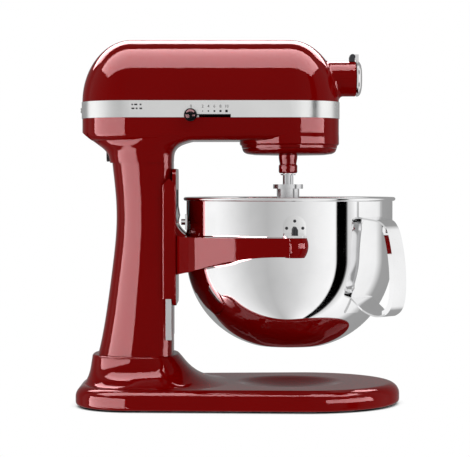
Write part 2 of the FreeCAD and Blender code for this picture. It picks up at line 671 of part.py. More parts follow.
def yoke_boss():
    """Barrel-shaped end of an arm, around its locating pin."""
    top, bottom, radius = YOKE_ARM_TOP_Z, YOKE_BOSS_Z - 1.0, BOSS_RADIUS
    start = Vector(radius - 1.6, 0, top)
    bulge = Vector(radius + 0.3, 0, 185.5)
    end = Vector(radius - 4.0, 0, bottom)
    side = Part.Arc(start, bulge, end).toShape()
    rest = Part.makePolygon([end, Vector(0, 0, bottom), Vector(0, 0, top), start])
    solid = Part.Face(Part.Wire([side] + rest.Edges)).revolve(ORIGIN, Z_DIR, 360)
    return moved(solid, PIN_X, -PIN_OFFSET_Y)


def yoke_arm():
    low = YOKE_ARM_ROOT_Z - 6.0
    arm = moved(yoke_arm_plan().extrude(Vector(0, 0, YOKE_ARM_TOP_Z - low)), z=low)
    arm = arm.cut(cylinder(BOSS_RADIUS, Vector(PIN_X, -PIN_OFFSET_Y, 100), Z_DIR, 150))
    rise = Part.Arc(Vector(-140, 0, YOKE_ARM_ROOT_Z - 6.0), Vector(-82, 0, YOKE_BOSS_Z - 8.2),
                    Vector(-6, 0, YOKE_BOSS_Z)).toShape()
    outside = [Vector(-6, 0, YOKE_BOSS_Z), Vector(40, 0, YOKE_BOSS_Z), Vector(40, 0, 100), Vector(-140, 0, 100),
               Vector(-140, 0, YOKE_ARM_ROOT_Z - 6.0)]
    below = Part.Face(Part.Wire([rise] + Part.makePolygon(outside).Edges)).extrude(Vector(0, -200, 0))
    arm = fuse([arm.cut(below), yoke_boss()])
    corners = [e for e in arm.Edges if upright_edge(e) and e.BoundBox.XMin < -90]
    arm = rounded(arm, 5.0, lambda e: any(e.isSame(c) for c in corners))
    return rounded(arm, 2.5, lambda e: edge_at_z(YOKE_ARM_TOP_Z)(e) and e.BoundBox.YMin < -1)


def yoke_wing():
    """Side plate that wraps a guide rail, with a pointed top."""
    back, bottom = -144.6, 122.8
    corners = [Vector(back, 0, bottom), Vector(YOKE_PLATE_FRONT_X, 0, bottom),
               Vector(YOKE_PLATE_FRONT_X, 0, WING_SHOULDER_Z), Vector((back + YOKE_PLATE_FRONT_X) / 2, 0, WING_PEAK_Z),
               Vector(back, 0, WING_SHOULDER_Z)]
    side = Part.Face(Part.makePolygon(corners + corners[:1])).extrude(Vector(0, WING_OUTER_Y - WING_INNER_Y, 0))
    hook = box(back, RAIL_BACK_X - 0.4, 46.2, WING_INNER_Y, bottom, WING_SHOULDER_Z)
    wing = fuse([moved(side, y=WING_INNER_Y), hook])
    return rounded(wing, 1.6, lambda e: upright_edge(e) and e.BoundBox.YMax > WING_OUTER_Y - 0.1)


def yoke():
    plate = box(YOKE_PLATE_BACK_X, YOKE_PLATE_FRONT_X, -52, 52, YOKE_PLATE_BOTTOM_Z, YOKE_PLATE_TOP_Z)
    plate = rounded(plate, 12.0, lambda e: e.BoundBox.XLength > 3 and e.BoundBox.YLength < 0.1
                    and e.BoundBox.ZLength < 0.1)
    arm = yoke_arm()
    wing = yoke_wing()
    corners = [Vector(YOKE_PLATE_FRONT_X - 1, 0, 221), Vector(YOKE_PLATE_FRONT_X - 1, 0, 180),
               Vector(-117, 0, 180), Vector(-117, 0, YOKE_ARM_TOP_Z - 0.1)]
    curve = Part.Arc(corners[3], Vector(-127.0, 0, 203.0), corners[0]).toShape()
    sides = Part.makePolygon(corners).Edges
    gusset = Part.Face(Part.Wire(sides + [curve])).extrude(Vector(0, 96, 0))
    gusset = moved(gusset, y=-48)
    gusset = gusset.cut(box(YOKE_PLATE_FRONT_X, -100, -15, 15, YOKE_ARM_TOP_Z - 0.1, 240))
    body = fuse([plate, arm, mirrored_y(arm), wing, mirrored_y(wing), gusset])
    bowl_space = cylinder(BOWL_RADIUS + 2.6, Vector(0, 0, 100), Z_DIR, 200)
    body = body.cut(bowl_space)
    pin_holes = [cylinder(PIN_RADIUS + 0.02, Vector(PIN_X, s * PIN_OFFSET_Y, 184), Z_DIR, 20) for s in (-1, 1)]
    screw_holes = [fuse([cylinder(2.2, Vector(-140, y, z), X_DIR, 14),
                         cylinder(5.0, Vector(YOKE_PLATE_FRONT_X, y, z), X_DIR, 20)])
                   for y, z in lug_screw_places()]
    return body.cut(Part.makeCompound(pin_holes + screw_holes))


def locating_pins():
    pins = []
    for side in (-1, 1):
        pin = revolved([(0, 184.2), (PIN_RADIUS, 184.2), (PIN_RADIUS, 202.5), (1.6, 206.0), (0, 206.0)],
                       PIN_X, side * PIN_OFFSET_Y)
        pins.append(pin)
    return Part.makeCompound(pins)


def lug_screw_places():
    middle = (LUG_Y0 + LUG_Y1) / 2
    return [(middle, 170.5), (middle, 205.5)]


def lift_lug():
    """Block behind the yoke with the slot that the crank pin runs in."""
    back = YOKE_PLATE_BACK_X - 0.02
    slot_half = CRANK_PIN_RADIUS + CRANK_SLOT_PLAY
    middle = LEVER_AXIS_Z + LIFT_TRAVEL / 2
    front_pin_x = LEVER_AXIS_X - CRANK_RADIUS * math.cos(math.radians(CRANK_ANGLE))
    rear_pin_x = LEVER_AXIS_X - CRANK_RADIUS
    body = box(rear_pin_x - 4.0, back, LUG_Y0, LUG_Y1, middle - 12.5, middle + 12.5)
    body = body.fuse(box(-139.0, back, LUG_Y0, LUG_Y1, 164.5, 211.5))
    slot_front = front_pin_x + CRANK_PIN_RADIUS + 2
    body = body.cut(box(-250, slot_front, -20, 20, middle - slot_half, middle + slot_half))
    holes = [cylinder(2.1, Vector(-139.0, y, z), X_DIR, 10) for y, z in lug_screw_places()]
    return body.removeSplitter().cut(Part.makeCompound(holes))


def lug_screws():
    screws = []
    for y, z in lug_screw_places():
        head = cylinder(4.4, Vector(YOKE_PLATE_FRONT_X + 0.02, y, z), X_DIR, 2.0)
        shank = cylinder(2.08, Vector(-138.8, y, z), X_DIR, 138.8 + YOKE_PLATE_FRONT_X + 0.04)
        screws.append(fuse([head, shank]))
    return Part.makeCompound(screws)


def latch_spring():
    """Bent strip on the yoke plate that holds the bowl's rear lug down."""
    front = YOKE_PLATE_FRONT_X + 0.02
    shape = [Vector(front, 0, 246), Vector(front, 0, 228), Vector(-127.2, 0, 216.0), Vector(-128.9, 0, 209.5),
             Vector(-127.9, 0, 209.1), Vector(-126.1, 0, 216.2), Vector(front + 1.0, 0, 229),
             Vector(front + 1.0, 0, 246)]
    strip = Part.Face(Part.makePolygon(shape + shape[:1])).extrude(Vector(0, 13, 0))
    return moved(strip, y=-6.5)


# ---------------------------------------------------------------- lift lever
def crank():
    """Hub and arm keyed to the lever shaft, in its raised position, with the drive pin."""
    angle = math.radians(180 - CRANK_ANGLE)
    axis = Vector(LEVER_AXIS_X, 0, LEVER_AXIS_Z)
    end = axis + Vector(math.cos(angle), 0, math.sin(angle)) * CRANK_RADIUS
    hub = cylinder(11.0, Vector(LEVER_AXIS_X, -4, LEVER_AXIS_Z), Y_DIR, 12)
    web = box(0, CRANK_RADIUS, -4, 4, -5.5, 5.5)
    web = moved(turned(web, CRANK_ANGLE - 180, ORIGIN, Y_DIR), LEVER_AXIS_X, 0, LEVER_AXIS_Z)
    tip = cylinder(5.5, Vector(end.x, -4, end.z), Y_DIR, 8)
    pin = cylinder(CRANK_PIN_RADIUS, Vector(end.x, LUG_Y0 - 1, end.z), Y_DIR, -4 - LUG_Y0 + 1)
    body = fuse([hub, web, tip, pin])
    return body.cut(cylinder(LEVER_SHAFT_RADIUS + 0.01, Vector(LEVER_AXIS_X, -20, LEVER_AXIS_Z), Y_DIR, 40))


def lever_shaft():
    shaft = cylinder(LEVER_SHAFT_RADIUS, Vector(LEVER_AXIS_X, -4.0, LEVER_AXIS_Z), Y_DIR, 66.0)
    return rounded(shaft, 1.0, lambda e: e.BoundBox.YMin > 61.9)


def lever_arm():
    """Rod outside the column, upright when the bowl is raised."""
    hub = tube(10.5, LEVER_SHAFT_RADIUS + 0.01, Vector(LEVER_AXIS_X, 48.2, LEVER_AXIS_Z), Y_DIR, 12.8)
    lower = Vector(LEVER_AXIS_X, 55.5, LEVER_AXIS_Z + 8)
    upper = Vector(LEVER_AXIS_X, 70.0, LEVER_AXIS_Z + 92)
    rod = cylinder(4.6, lower, upper - lower, (upper - lower).Length)
    elbow = Part.makeSphere(4.6, upper)
    stub = cylinder(4.6, upper, Y_DIR, 12.0)
    return fuse([hub, rod.cut(cylinder(8, Vector(LEVER_AXIS_X, 40, LEVER_AXIS_Z), Y_DIR, 40)), elbow, stub])


def lever_grip():
    z = LEVER_AXIS_Z + 92
    profile = [(82.02, 0), (82.02, 7.5), (86, 10.5), (108, 12.0), (114, 9.5), (116, 5.0), (116, 0)]
    corners = [Vector(LEVER_AXIS_X + r, y, z) for y, r in profile]
    face = Part.Face(Part.makePolygon(corners + corners[:1]))
    return face.revolve(Vector(LEVER_AXIS_X, 0, z), Y_DIR, 360)


# ---------------------------------------------------------------- bowl
def bowl_body(offset, flat_radius=BOWL_FLAT_RADIUS):
    """Solid of revolution with the bowl's profile, grown outwards by an offset."""
    corner = BOWL_CORNER_RADIUS + offset
    centre_r = BOWL_RADIUS - BOWL_CORNER_RADIUS
    run = flat_radius - centre_r
    bottom = Vector(flat_radius, 0, BOWL_SHOULDER_Z - math.sqrt(corner ** 2 - run ** 2))
    half_way = Vector(centre_r + corner * math.sqrt(0.5), 0, BOWL_SHOULDER_Z - corner * math.sqrt(0.5))
    shoulder = Vector(centre_r + corner, 0, BOWL_SHOULDER_Z)
    arc = Part.Arc(bottom, half_way, shoulder).toShape()
    top = Vector(shoulder.x, 0, BOWL_RIM_Z - RIM_BEAD_RADIUS)
    rest = Part.makePolygon([shoulder, top, Vector(0, 0, top.z), Vector(0, 0, bottom.z), bottom])
    return Part.Face(Part.Wire([arc] + rest.Edges)).revolve(ORIGIN, Z_DIR, 360)


def bowl():
    shell = bowl_body(0).cut(bowl_body(-BOWL_WALL))
    bead = Part.makeTorus(BOWL_RADIUS + RIM_BEAD_RADIUS - 0.9, RIM_BEAD_RADIUS,
                          Vector(0, 0, BOWL_RIM_Z - RIM_BEAD_RADIUS), Z_DIR)
    return fuse([shell, bead])


def bowl_side_brackets():
    """Half-round plates with a flange that drops over each locating pin."""
    inner = BOWL_RADIUS + 0.02
    plate = box(PIN_X - 12.2, PIN_X + 12.2, -inner - 6, -100, YOKE_ARM_TOP_Z + 0.1, 205.7)
    dome = cylinder(12.2, Vector(PIN_X, -100, 205.7), Vector(0, -1, 0), inner - 94)
    skin = tube(inner + 1.8, inner, Vector(0, 0, 190), Z_DIR, 60)
    wrapped = plate.fuse(dome).common(skin)
    flange = box(PIN_X - 12.2, PIN_X + 12.2, -136.5, -110, YOKE_ARM_TOP_Z + 0.1, YOKE_ARM_TOP_Z + 2.5)
    flange = rounded(flange, 5.0, lambda e: upright_edge(e) and e.BoundBox.YMin < -130)
    flange = flange.cut(cylinder(inner, Vector(0, 0, 180), Z_DIR, 40))
    flange = flange.cut(cylinder(PIN_RADIUS + 0.35, Vector(PIN_X, -PIN_OFFSET_Y, 180), Z_DIR, 40))
    bracket = fuse([wrapped, flange])
    return both_sides(bracket)


def bowl_rear_lug():
    """Plate and stud on the back of the bowl that the latch spring presses on."""
    inner = BOWL_RADIUS + 0.02
    skin = tube(inner + 1.6, inner, Vector(0, 0, 190), Z_DIR, 60)
    plate = skin.common(box(-140, -100, -11, 11, 200.0, 217.5))
    stud = cylinder(3.4, Vector(-124.8, 0, 208.7), X_DIR, 5.0)
    return fuse([plate, stud.cut(cylinder(inner, Vector(0, 0, 190), Z_DIR, 60))])


HANDLE_PATH = [(112.0, 217.4), (123.0, 215.7), (134.0, 214.0), (144.8, 211.2), (151.5, 204.4),
               (156.3, 192.0), (159.8, 176.0), (162.0, 158.0), (162.5, 142.0), (161.2, 126.0),
               (156.4, 113.6), (149.0, 108.0), (140.5, 106.4), (131.0, 108.8), (120.0, 115.4),
               (112.4, 121.2), (105.0, 127.2)]


def handle_band(thickness):
    """Flat band in the XZ plane that follows the handle's side view, thickened inwards."""
    path = Part.BSplineCurve()
    path.interpolate([Vector(r, 0, z) for r, z in HANDLE_PATH])
    steps = 24
    first, last = path.FirstParameter, path.LastParameter
    outer, inner = [], []
    for i in range(steps + 1):
        at = first + (last - first) * i / steps
        tangent = path.tangent(at)[0]
        outer.append(path.value(at))
        inner.append(path.value(at) + Vector(tangent.z, 0, -tangent.x) * thickness)
    outer_curve, inner_curve = Part.BSplineCurve(), Part.BSplineCurve()
    outer_curve.interpolate(outer)
    inner_curve.interpolate(inner)
    edges = [outer_curve.toShape(), Part.makeLine(outer[-1], inner[-1]),
             inner_curve.toShape(), Part.makeLine(inner[0], outer[0])]
    return Part.Face(Part.Wire(Part.__sortEdges__(edges)))


def handle_tabs():
    """The two tabs that lie against the bowl and are spot-welded to it."""
    skin = bowl_body(HANDLE_SHEET)
    half = HANDLE_TAB_WIDTH / 2
    upper = skin.common(box(100, 125, -half, half, 214.2, BOWL_RIM_Z - 4.5))
    lower = skin.common(box(80, 125, -half, half, 109.0, 124.5))
    return [upper, lower]


def bowl_handle():
    half_grip, half_tab = HANDLE_GRIP_WIDTH / 2, HANDLE_TAB_WIDTH / 2
    strap = moved(handle_band(HANDLE_SHEET).extrude(Vector(0, HANDLE_TAB_WIDTH, 0)), y=-half_tab)
    trims = []
    for side in (-1, 1):
        plan = [Vector(124, side * (half_tab + 1), 0), Vector(124, side * half_tab, 0),
                Vector(150, side * half_grip, 0), Vector(190, side * half_grip, 0),
                Vector(190, side * (half_tab + 1), 0)]
        trims.append(moved(Part.Face(Part.makePolygon(plan + plan[:1])).extrude(Vector(0, 0, 200)), z=80))
    strap = strap.cut(Part.makeCompound(trims))
    rib = handle_band(HANDLE_FLANGE).extrude(Vector(0, HANDLE_SHEET, 0))
    rib = rib.common(box(146, 190, -5, 5, 108.5, 209))
    ribs = [moved(rib, y=half_grip - HANDLE_SHEET), moved(rib, y=-half_grip)]
    handle = fuse([strap] + ribs + handle_tabs())
    outside = bowl_body(0.02)
    return turned(handle.cut(outside), HANDLE_ANGLE)


# ---------------------------------------------------------------- planetary drive
def planetary_housing():
    """Turning disc under the nose, with the sleeve that guides the beater shaft."""
    rim, low = PLANETARY_RADIUS, PLANETARY_BOTTOM_Z
    disc = revolved([(0, NOSE_BOTTOM_Z - 0.4), (rim, NOSE_BOTTOM_Z - 0.4), (rim - 0.4, low + 6.6),
                     (rim - 1.3, low + 4.8), (rim - 3.0, low + 3.2), (rim - 5.8, low + 2.0),
                     (rim - 14.0, low + 0.9), (0, low)])
    sleeve = revolved([(0, 289), (10.6, 289), (10.6, 282.0), (9.4, 275.0), (10.6, 273.4), (10.6, 266.4),
                       (9.6, 264.8), (0, 264.8)], BEATER_X, BEATER_Y)
    carrier_boss = cylinder(13.0, Vector(BEATER_X, BEATER_Y, 290), Z_DIR, 6.0)
    centre_boss = cylinder(12.0, Vector(0, 0, 290), Z_DIR, 14.0)
    body = fuse([disc, sleeve, carrier_boss, centre_boss])
    body = body.cut(cylinder(BEATER_SHAFT_RADIUS + 0.06, Vector(BEATER_X, BEATER_Y, 250), Z_DIR, 80))
    return body.cut(cylinder(7.02, Vector(0, 0, 288.5), Z_DIR, 60))


def centre_shaft():
    return cylinder(7.0, Vector(0, 0, 288.6), Z_DIR, 372.0 - 288.6)


def centre_gear():
    gear = spur_gear(CENTRE_TEETH, SPUR_MODULE, 322.0, 12.0)
    web = tube(24, 13, Vector(0, 0, 330), Z_DIR, 5)
    return gear.cut(web).cut(cylinder(7.02, Vector(0, 0, 300), Z_DIR, 60))


def centre_bevel():
    gear = bevel_gear(BEVEL_RADIUS, BEVEL_TEETH, HUB_AXIS_Z)
    hub = cylinder(11.0, Vector(0, 0, 352.5), Z_DIR, HUB_AXIS_Z - BEVEL_RADIUS - 352.5)
    return fuse([gear, hub]).cut(cylinder(7.02, Vector(0, 0, 300), Z_DIR, 100))


def ring_gear():
    """Fixed internal gear in the nose that turns the planet pinion."""
    outline = gear_outline(RING_TEETH, PLANET_MODULE, 296.6, internal=True)
    teeth_space = Part.Face(outline).extrude(Vector(0, 0, 11.0))
    ring = cylinder(49.95, Vector(0, 0, 296.6), Z_DIR, 11.0)
    return ring.cut(turned(teeth_space, 180 / RING_TEETH))


def planet_pinion():
    rolled = BEATER_TURN * (1 - RING_TEETH / PLANET_TEETH)
    gear = spur_gear(PLANET_TEETH, PLANET_MODULE, 297.0, 10.0, rolled)
    gear = gear.cut(cylinder(BEATER_SHAFT_RADIUS + 0.01, Vector(0, 0, 290), Z_DIR, 40))
    return moved(gear, BEATER_X, BEATER_Y)


def beater_shaft():
    shaft = cylinder(BEATER_SHAFT_RADIUS, Vector(BEATER_X, BEATER_Y, 222.0), Z_DIR, 307.8 - 222.0)
    pin = cylinder(1.6, Vector(BEATER_X - 10.5, BEATER_Y, 238.0), X_DIR, 21.0)
    return fuse([shaft, pin])


def shaft_washer():
    return tube(8.4, BEATER_SHAFT_RADIUS + 0.01, Vector(BEATER_X, BEATER_Y, 262.6), Z_DIR, 1.4)


def beater_frame_profile():
    """Outer outline of the flat beater, about its own axis: straight sides, round below."""
    half, shoulder, bottom, neck_z = 80.0, 160.0, 86.0, 206.0
    left = [Vector(-half, 0, 176), Vector(-half, 0, shoulder)]
    bowl_arc = Part.Arc(Vector(-half, 0, shoulder), Vector(0, 0, bottom), Vector(half, 0, shoulder)).toShape()
    edges = [Part.makeLine(Vector(-10, 0, neck_z), left[0]), Part.makeLine(left[0], left[1]), bowl_arc,
             Part.makeLine(Vector(half, 0, shoulder), Vector(half, 0, 176)),
             Part.makeLine(Vector(half, 0, 176), Vector(10, 0, neck_z)),
             Part.makeLine(Vector(10, 0, neck_z), Vector(-10, 0, neck_z))]
    return Part.Wire(Part.__sortEdges__(edges))


def flat_beater():
    """Cast paddle: hub with a collar, an outline frame and crossed ribs."""
    thickness, rim, rib = 9.0, 9.0, 7.0
    outline = beater_frame_profile()
    plate = moved(Part.Face(outline).extrude(Vector(0, thickness, 0)), y=-thickness / 2)
    window = Part.Face(outline.makeOffset2D(-rim)).extrude(Vector(0, 40, 0))
    frame = plate.cut(moved(window, y=-20))
    spine = box(-rib / 2, rib / 2, -thickness / 2, thickness / 2, 90, 208)
    bars = [spine]
    for side in (-1, 1):
        bar = box(0, 95, -thickness / 2, thickness / 2, -rib / 2, rib / 2)
        bar = turned(bar, 38, ORIGIN, Y_DIR)
        bar = moved(bar, 0, 0, 182)
        bars.append(bar if side > 0 else bar.mirror(ORIGIN, X_DIR))
        low = box(0, 80, -thickness / 2, thickness / 2, -rib / 2, rib / 2)
        low = moved(turned(low, 38, ORIGIN, Y_DIR), 0, 0, 142)
        bars.append(low if side > 0 else low.mirror(ORIGIN, X_DIR))
    inside = [b.common(plate) for b in bars]
    hub = cylinder(12.8, Vector(0, 0, 202), Z_DIR, 45.4)
    collar = cylinder(17.0, Vector(0, 0, 247.2), Z_DIR, 5.0)
    body = fuse([frame] + inside + [hub, collar])
    body = body.cut(cylinder(BEATER_SHAFT_RADIUS + 0.1, Vector(0, 0, 221.5), Z_DIR, 60))
    body = body.cut(box(-14, 14, -1.9, 1.9, 235.9, 240.1))
    return moved(body, BEATER_X, BEATER_Y)


# ---------------------------------------------------------------- worm stage and motor
def worm_wheel():
    """Bronze wheel beside the worm; its teeth lean by the worm's lead angle."""
    thickness = 10.0
    lead = math.atan(WORM_STARTS * WORM_MODULE / 2 / WORM_PITCH_RADIUS)
    radius = WORM_MODULE * WORM_WHEEL_TEETH / 2
    half_twist = math.degrees(thickness / 2 * math.tan(lead) / radius)
    low = gear_outline(WORM_WHEEL_TEETH, WORM_MODULE, MOTOR_AXIS_Z - thickness / 2, tip=0.7, root=1.1)
    high = low.copy()
    high.translate(Vector(0, 0, thickness))
    low.rotate(ORIGIN, Z_DIR, -half_twist)
    high.rotate(ORIGIN, Z_DIR, half_twist)
    wheel = Part.makeLoft([low, high], True, True)
    wheel = wheel.cut(cylinder(5.02, Vector(0, 0, 300), Z_DIR, 100))
    wheel = turned(wheel, -90)
    return moved(wheel, TRANSFER_X, TRANSFER_Y)


def transfer_shaft():
    """Upright shaft with the pinion that drives the centre gear."""
    shaft = cylinder(5.0, Vector(0, 0, 311.5), Z_DIR, 364.0 - 311.5)
    toward_centre = math.degrees(math.atan2(-TRANSFER_Y, -TRANSFER_X))
    phase = toward_centre + 180 / TRANSFER_TEETH + transfer_shift()
    pinion = spur_gear(TRANSFER_TEETH, SPUR_MODULE, 321.5, 13.0, phase)
    return moved(fuse([shaft, pinion]), TRANSFER_X, TRANSFER_Y)


def transfer_shift():
    """Turn that lines a centre-gear tooth up with a pinion space at rest."""
    step = 360 / CENTRE_TEETH
    at_pinion = math.degrees(math.atan2(TRANSFER_Y, TRANSFER_X))
    past_tooth = at_pinion - round(at_pinion / step) * step
    return past_tooth * CENTRE_TEETH / TRANSFER_TEETH


def armature_shaft():
    """Motor shaft with the two-start worm cut at its front end."""
    shaft = cylinder(MOTOR_SHAFT_RADIUS, Vector(-212, 0, MOTOR_AXIS_Z), X_DIR, 212 - 19)
    core = cylinder(WORM_PITCH_RADIUS - 1.1 * WORM_MODULE, Vector(-48, 0, MOTOR_AXIS_Z), X_DIR, 27)
    axial_pitch = math.pi * WORM_MODULE
    lead = WORM_STARTS * axial_pitch
    start_x = TRANSFER_X - 3 * axial_pitch
    length = 24.0
    root = WORM_PITCH_RADIUS - 1.2 * WORM_MODULE
    tip = WORM_PITCH_RADIUS + 0.7 * WORM_MODULE
    helix = Part.makeHelix(lead, length, root)
    half_root, half_tip = 0.95, 0.5
    threads = []
    for start in range(WORM_STARTS):
        corners = [Vector(root, 0, -half_root), Vector(tip, 0, -half_tip), Vector(tip, 0, half_tip),
                   Vector(root, 0, half_root)]
        profile = Part.makePolygon(corners + corners[:1])
        thread = Part.Wire(helix.Edges).makePipeShell([profile], True, True)
        threads.append(turned(thread, 360 / WORM_STARTS * start))
    thread_set = [turned(t, 90, ORIGIN, Y_DIR) for t in threads]
    placed = [moved(t, start_x, 0, MOTOR_AXIS_Z) for t in thread_set]
    return fuse([shaft, core] + placed)


def armature_core():
    """Laminated rotor with its winding slots."""
    core = tube(ROTOR_RADIUS, MOTOR_SHAFT_RADIUS + 0.01, Vector(-158, 0, MOTOR_AXIS_Z), X_DIR, 58)
    slots = []
    for i in range(12):
        slot = box(-159, -99, -1.3, 1.3, 13.5, 30)
        slots.append(moved(turned(slot, 30 * i, ORIGIN, X_DIR), z=MOTOR_AXIS_Z))
    return core.cut(Part.makeCompound(slots))


def armature_winding():
    """Copper end turns either side of the rotor."""
    ends = [revolved_about_x([(x0, 8.0), (x0, 19.0), (x0 + 4, 21.0), (x1 - 4, 21.0), (x1, 19.0), (x1, 8.0)],
                             MOTOR_AXIS_Z) for x0, x1 in ((-171, -158.05), (-99.95, -88))]
    return Part.makeCompound(ends)


def commutator():
    ring = tube(12.0, MOTOR_SHAFT_RADIUS + 0.01, Vector(-190, 0, MOTOR_AXIS_Z), X_DIR, 16)
    cuts = []
    for i in range(24):
        cut = box(-191, -173, -0.35, 0.35, 10.5, 14)
        cuts.append(moved(turned(cut, 15 * i, ORIGIN, X_DIR), z=MOTOR_AXIS_Z))
    return ring.cut(Part.makeCompound(cuts))


def cooling_fan():
    hub = tube(11, MOTOR_SHAFT_RADIUS + 0.01, Vector(-84, 0, MOTOR_AXIS_Z), X_DIR, 11)
    disc = tube(38, 10, Vector(-75, 0, MOTOR_AXIS_Z), X_DIR, 2)
    blades = []
    for i in range(9):
        blade = box(-84, -74.5, -0.9, 0.9, 10.0, 37.0)
        blades.append(moved(turned(blade, 40 * i, ORIGIN, X_DIR), z=MOTOR_AXIS_Z))
    return fuse([hub, disc] + blades)


def stator():
    """Laminated field stack with two pole pieces."""
    ring = tube(STATOR_RADIUS, 34.0, Vector(-158, 0, MOTOR_AXIS_Z), X_DIR, 58)
    pole_ring = tube(35.0, ROTOR_RADIUS + 1.0, Vector(-158, 0, MOTOR_AXIS_Z), X_DIR, 58)
    pole = pole_ring.common(box(-158, -100, -50, 50, MOTOR_AXIS_Z + 14, MOTOR_AXIS_Z + 60))
    low_pole = pole_ring.common(box(-158, -100, -50, 50, MOTOR_AXIS_Z - 60, MOTOR_AXIS_Z - 14))
    return fuse([ring, pole, low_pole])


def stator_coils():
    """Field windings wrapped round each pole, seen as end loops."""
    coils = []
    for x0, x1 in ((-170, -158.05), (-99.95, -88)):
        loop = tube(33.5, 25.5, Vector(x0, 0, MOTOR_AXIS_Z), X_DIR, x1 - x0)
        coils.append(loop.common(box(x0, x1, -50, 50, MOTOR_AXIS_Z + 6, MOTOR_AXIS_Z + 60)))
        coils.append(loop.common(box(x0, x1, -50, 50, MOTOR_AXIS_Z - 60, MOTOR_AXIS_Z - 6)))
    return Part.makeCompound(coils)


def motor_bracket(x, thickness, bearing_radius):
    """Spoked end bracket that holds one motor bearing."""
    rim = tube(48.0, 42.5, Vector(x, 0, MOTOR_AXIS_Z), X_DIR, thickness)
    seat = tube(bearing_radius + 4, bearing_radius + 0.01, Vector(x, 0, MOTOR_AXIS_Z), X_DIR, thickness)
    spokes = []
    for i in range(4):
        spoke = box(x, x + thickness, -4, 4, bearing_radius + 2, 44)
        spokes.append(moved(turned(spoke, 45 + 90 * i, ORIGIN, X_DIR), z=MOTOR_AXIS_Z))
    bracket = fuse([rim, seat] + spokes)
    inner_radius = HEAD_HALF_WIDTH - SHELL_WALL - 0.3
    room = fuse([stadium(inner_radius, TRAY_BOTTOM_Z + 5.2, BAND_TOP_Z),
                 head_dome(inner_radius, HEAD_TOP_Z - BAND_TOP_Z - SHELL_WALL - 0.3)])
    return bracket.common(room)


def ball_bearing(inner, outer, start, direction, width):
    """Two races and the balls between them, as separate solids."""
    middle = (inner + outer) / 2
    ball = (outer - inner) * 0.24
    race_gap = ball * 0.55
    races = [tube(outer, middle + race_gap, start, direction, width),
             tube(middle - race_gap, inner, start, direction, width)]
    across = X_DIR if abs(direction.z) > 0.5 else Z_DIR
    groove = Part.makeTorus(middle, ball * 1.02, start + direction * (width / 2), direction)
    races = [race.cut(groove) for race in races]
    count = 8
    balls = []
    for i in range(count):
        centre = start + direction * (width / 2) + across * middle
        balls.append(turned(Part.makeSphere(ball, centre), 360 / count * i, start, direction))
    return Part.makeCompound(races + balls)


def motor_bearings():
    front = ball_bearing(5.01, 11.0, Vector(-64, 0, MOTOR_AXIS_Z), X_DIR, 8.0)
    rear = ball_bearing(5.01, 11.0, Vector(-208, 0, MOTOR_AXIS_Z), X_DIR, 8.0)
    return Part.makeCompound(front.Solids + rear.Solids)


def carbon_brushes():
    brushes = []
    for side in (-1, 1):
        lower, upper = sorted((side * 12.3, side * 26.0))
        brushes.append(box(-185.5, -178.5, lower, upper, MOTOR_AXIS_Z - 3, MOTOR_AXIS_Z + 3))
    return Part.makeCompound(brushes)


def brush_holders():
    holders = []
    for side in (-1, 1):
        lower, upper = sorted((side * 15.0, side * 40.0))
        sleeve = box(-188, -176, lower, upper, MOTOR_AXIS_Z - 5.5, MOTOR_AXIS_Z + 5.5)
        inner, outer = sorted((side * 10.0, side * 26.2))
        sleeve = sleeve.cut(box(-185.6, -178.4, inner, outer, MOTOR_AXIS_Z - 3.1, MOTOR_AXIS_Z + 3.1))
        holders.append(sleeve)
    return Part.makeCompound(holders)


def gearbox_plate():
    """Web across the nose that carries the upright shafts."""
    plate = cylinder(49.9, Vector(0, 0, 308.6), Z_DIR, 5.4)
    rim = tube(49.9, 46.0, Vector(0, 0, 314.0), Z_DIR, 3.0)
    seat = cylinder(19.0, Vector(0, 0, 308.6), Z_DIR, 10.4)
    pad = cylinder(9.0, Vector(TRANSFER_X, TRANSFER_Y, 308.6), Z_DIR, 9.4)
    body = fuse([plate, rim, seat, pad.common(cylinder(49.9, Vector(0, 0, 300), Z_DIR, 40))])
    body = body.cut(cylinder(15.02, Vector(0, 0, 300), Z_DIR, 40))
    body = body.cut(cylinder(5.06, Vector(TRANSFER_X, TRANSFER_Y, 311), Z_DIR, 40))
    holes = [cylinder(2.2, Vector(x, y, 300), Z_DIR, 40) for x, y in plate_screw_places()]
    return body.cut(Part.makeCompound(holes))


def plate_screw_places():
    return [(40 * math.cos(math.radians(a)), 40 * math.sin(math.radians(a))) for a in (20, 200, 290)]


def gearbox_screws():
    screws = []
    for x, y in plate_screw_places():
        shank = cylinder(2.15, Vector(x, y, 308.8), Z_DIR, 5.4)
        head = cylinder(3.8, Vector(x, y, 314.2), Z_DIR, 2.6)
        screws.append(fuse([shank, head]))
    return Part.makeCompound(screws)


def centre_bearing():
    return ball_bearing(7.01, 15.0, Vector(0, 0, 309.0), Z_DIR, 9.0)


def hub_drive():
    """Bevel pinion and shaft that end in the square socket inside the hub."""
    gear = bevel_gear(BEVEL_RADIUS, BEVEL_TEETH, 0)
    gear = turned(gear, 180 / BEVEL_TEETH)
    gear = turned(gear, -90, ORIGIN, Y_DIR)
    gear = moved(gear, z=HUB_AXIS_Z)
    collar = cylinder(11.0, Vector(BEVEL_RADIUS, 0, HUB_AXIS_Z), X_DIR, 4.0)
    shaft = cylinder(7.0, Vector(BEVEL_RADIUS + 4, 0, HUB_AXIS_Z), X_DIR, 16.4)
    socket = cylinder(12.0, Vector(36.2, 0, HUB_AXIS_Z), X_DIR, 7.0)
    body = fuse([gear, collar, shaft, socket])
    square = box(30, 60, -4.8, 4.8, HUB_AXIS_Z - 4.8, HUB_AXIS_Z + 4.8)
    return body.cut(square)


def hub_bush():
    return tube(9.55, 7.05, Vector(24.2, 0, HUB_AXIS_Z), X_DIR, 9.6)


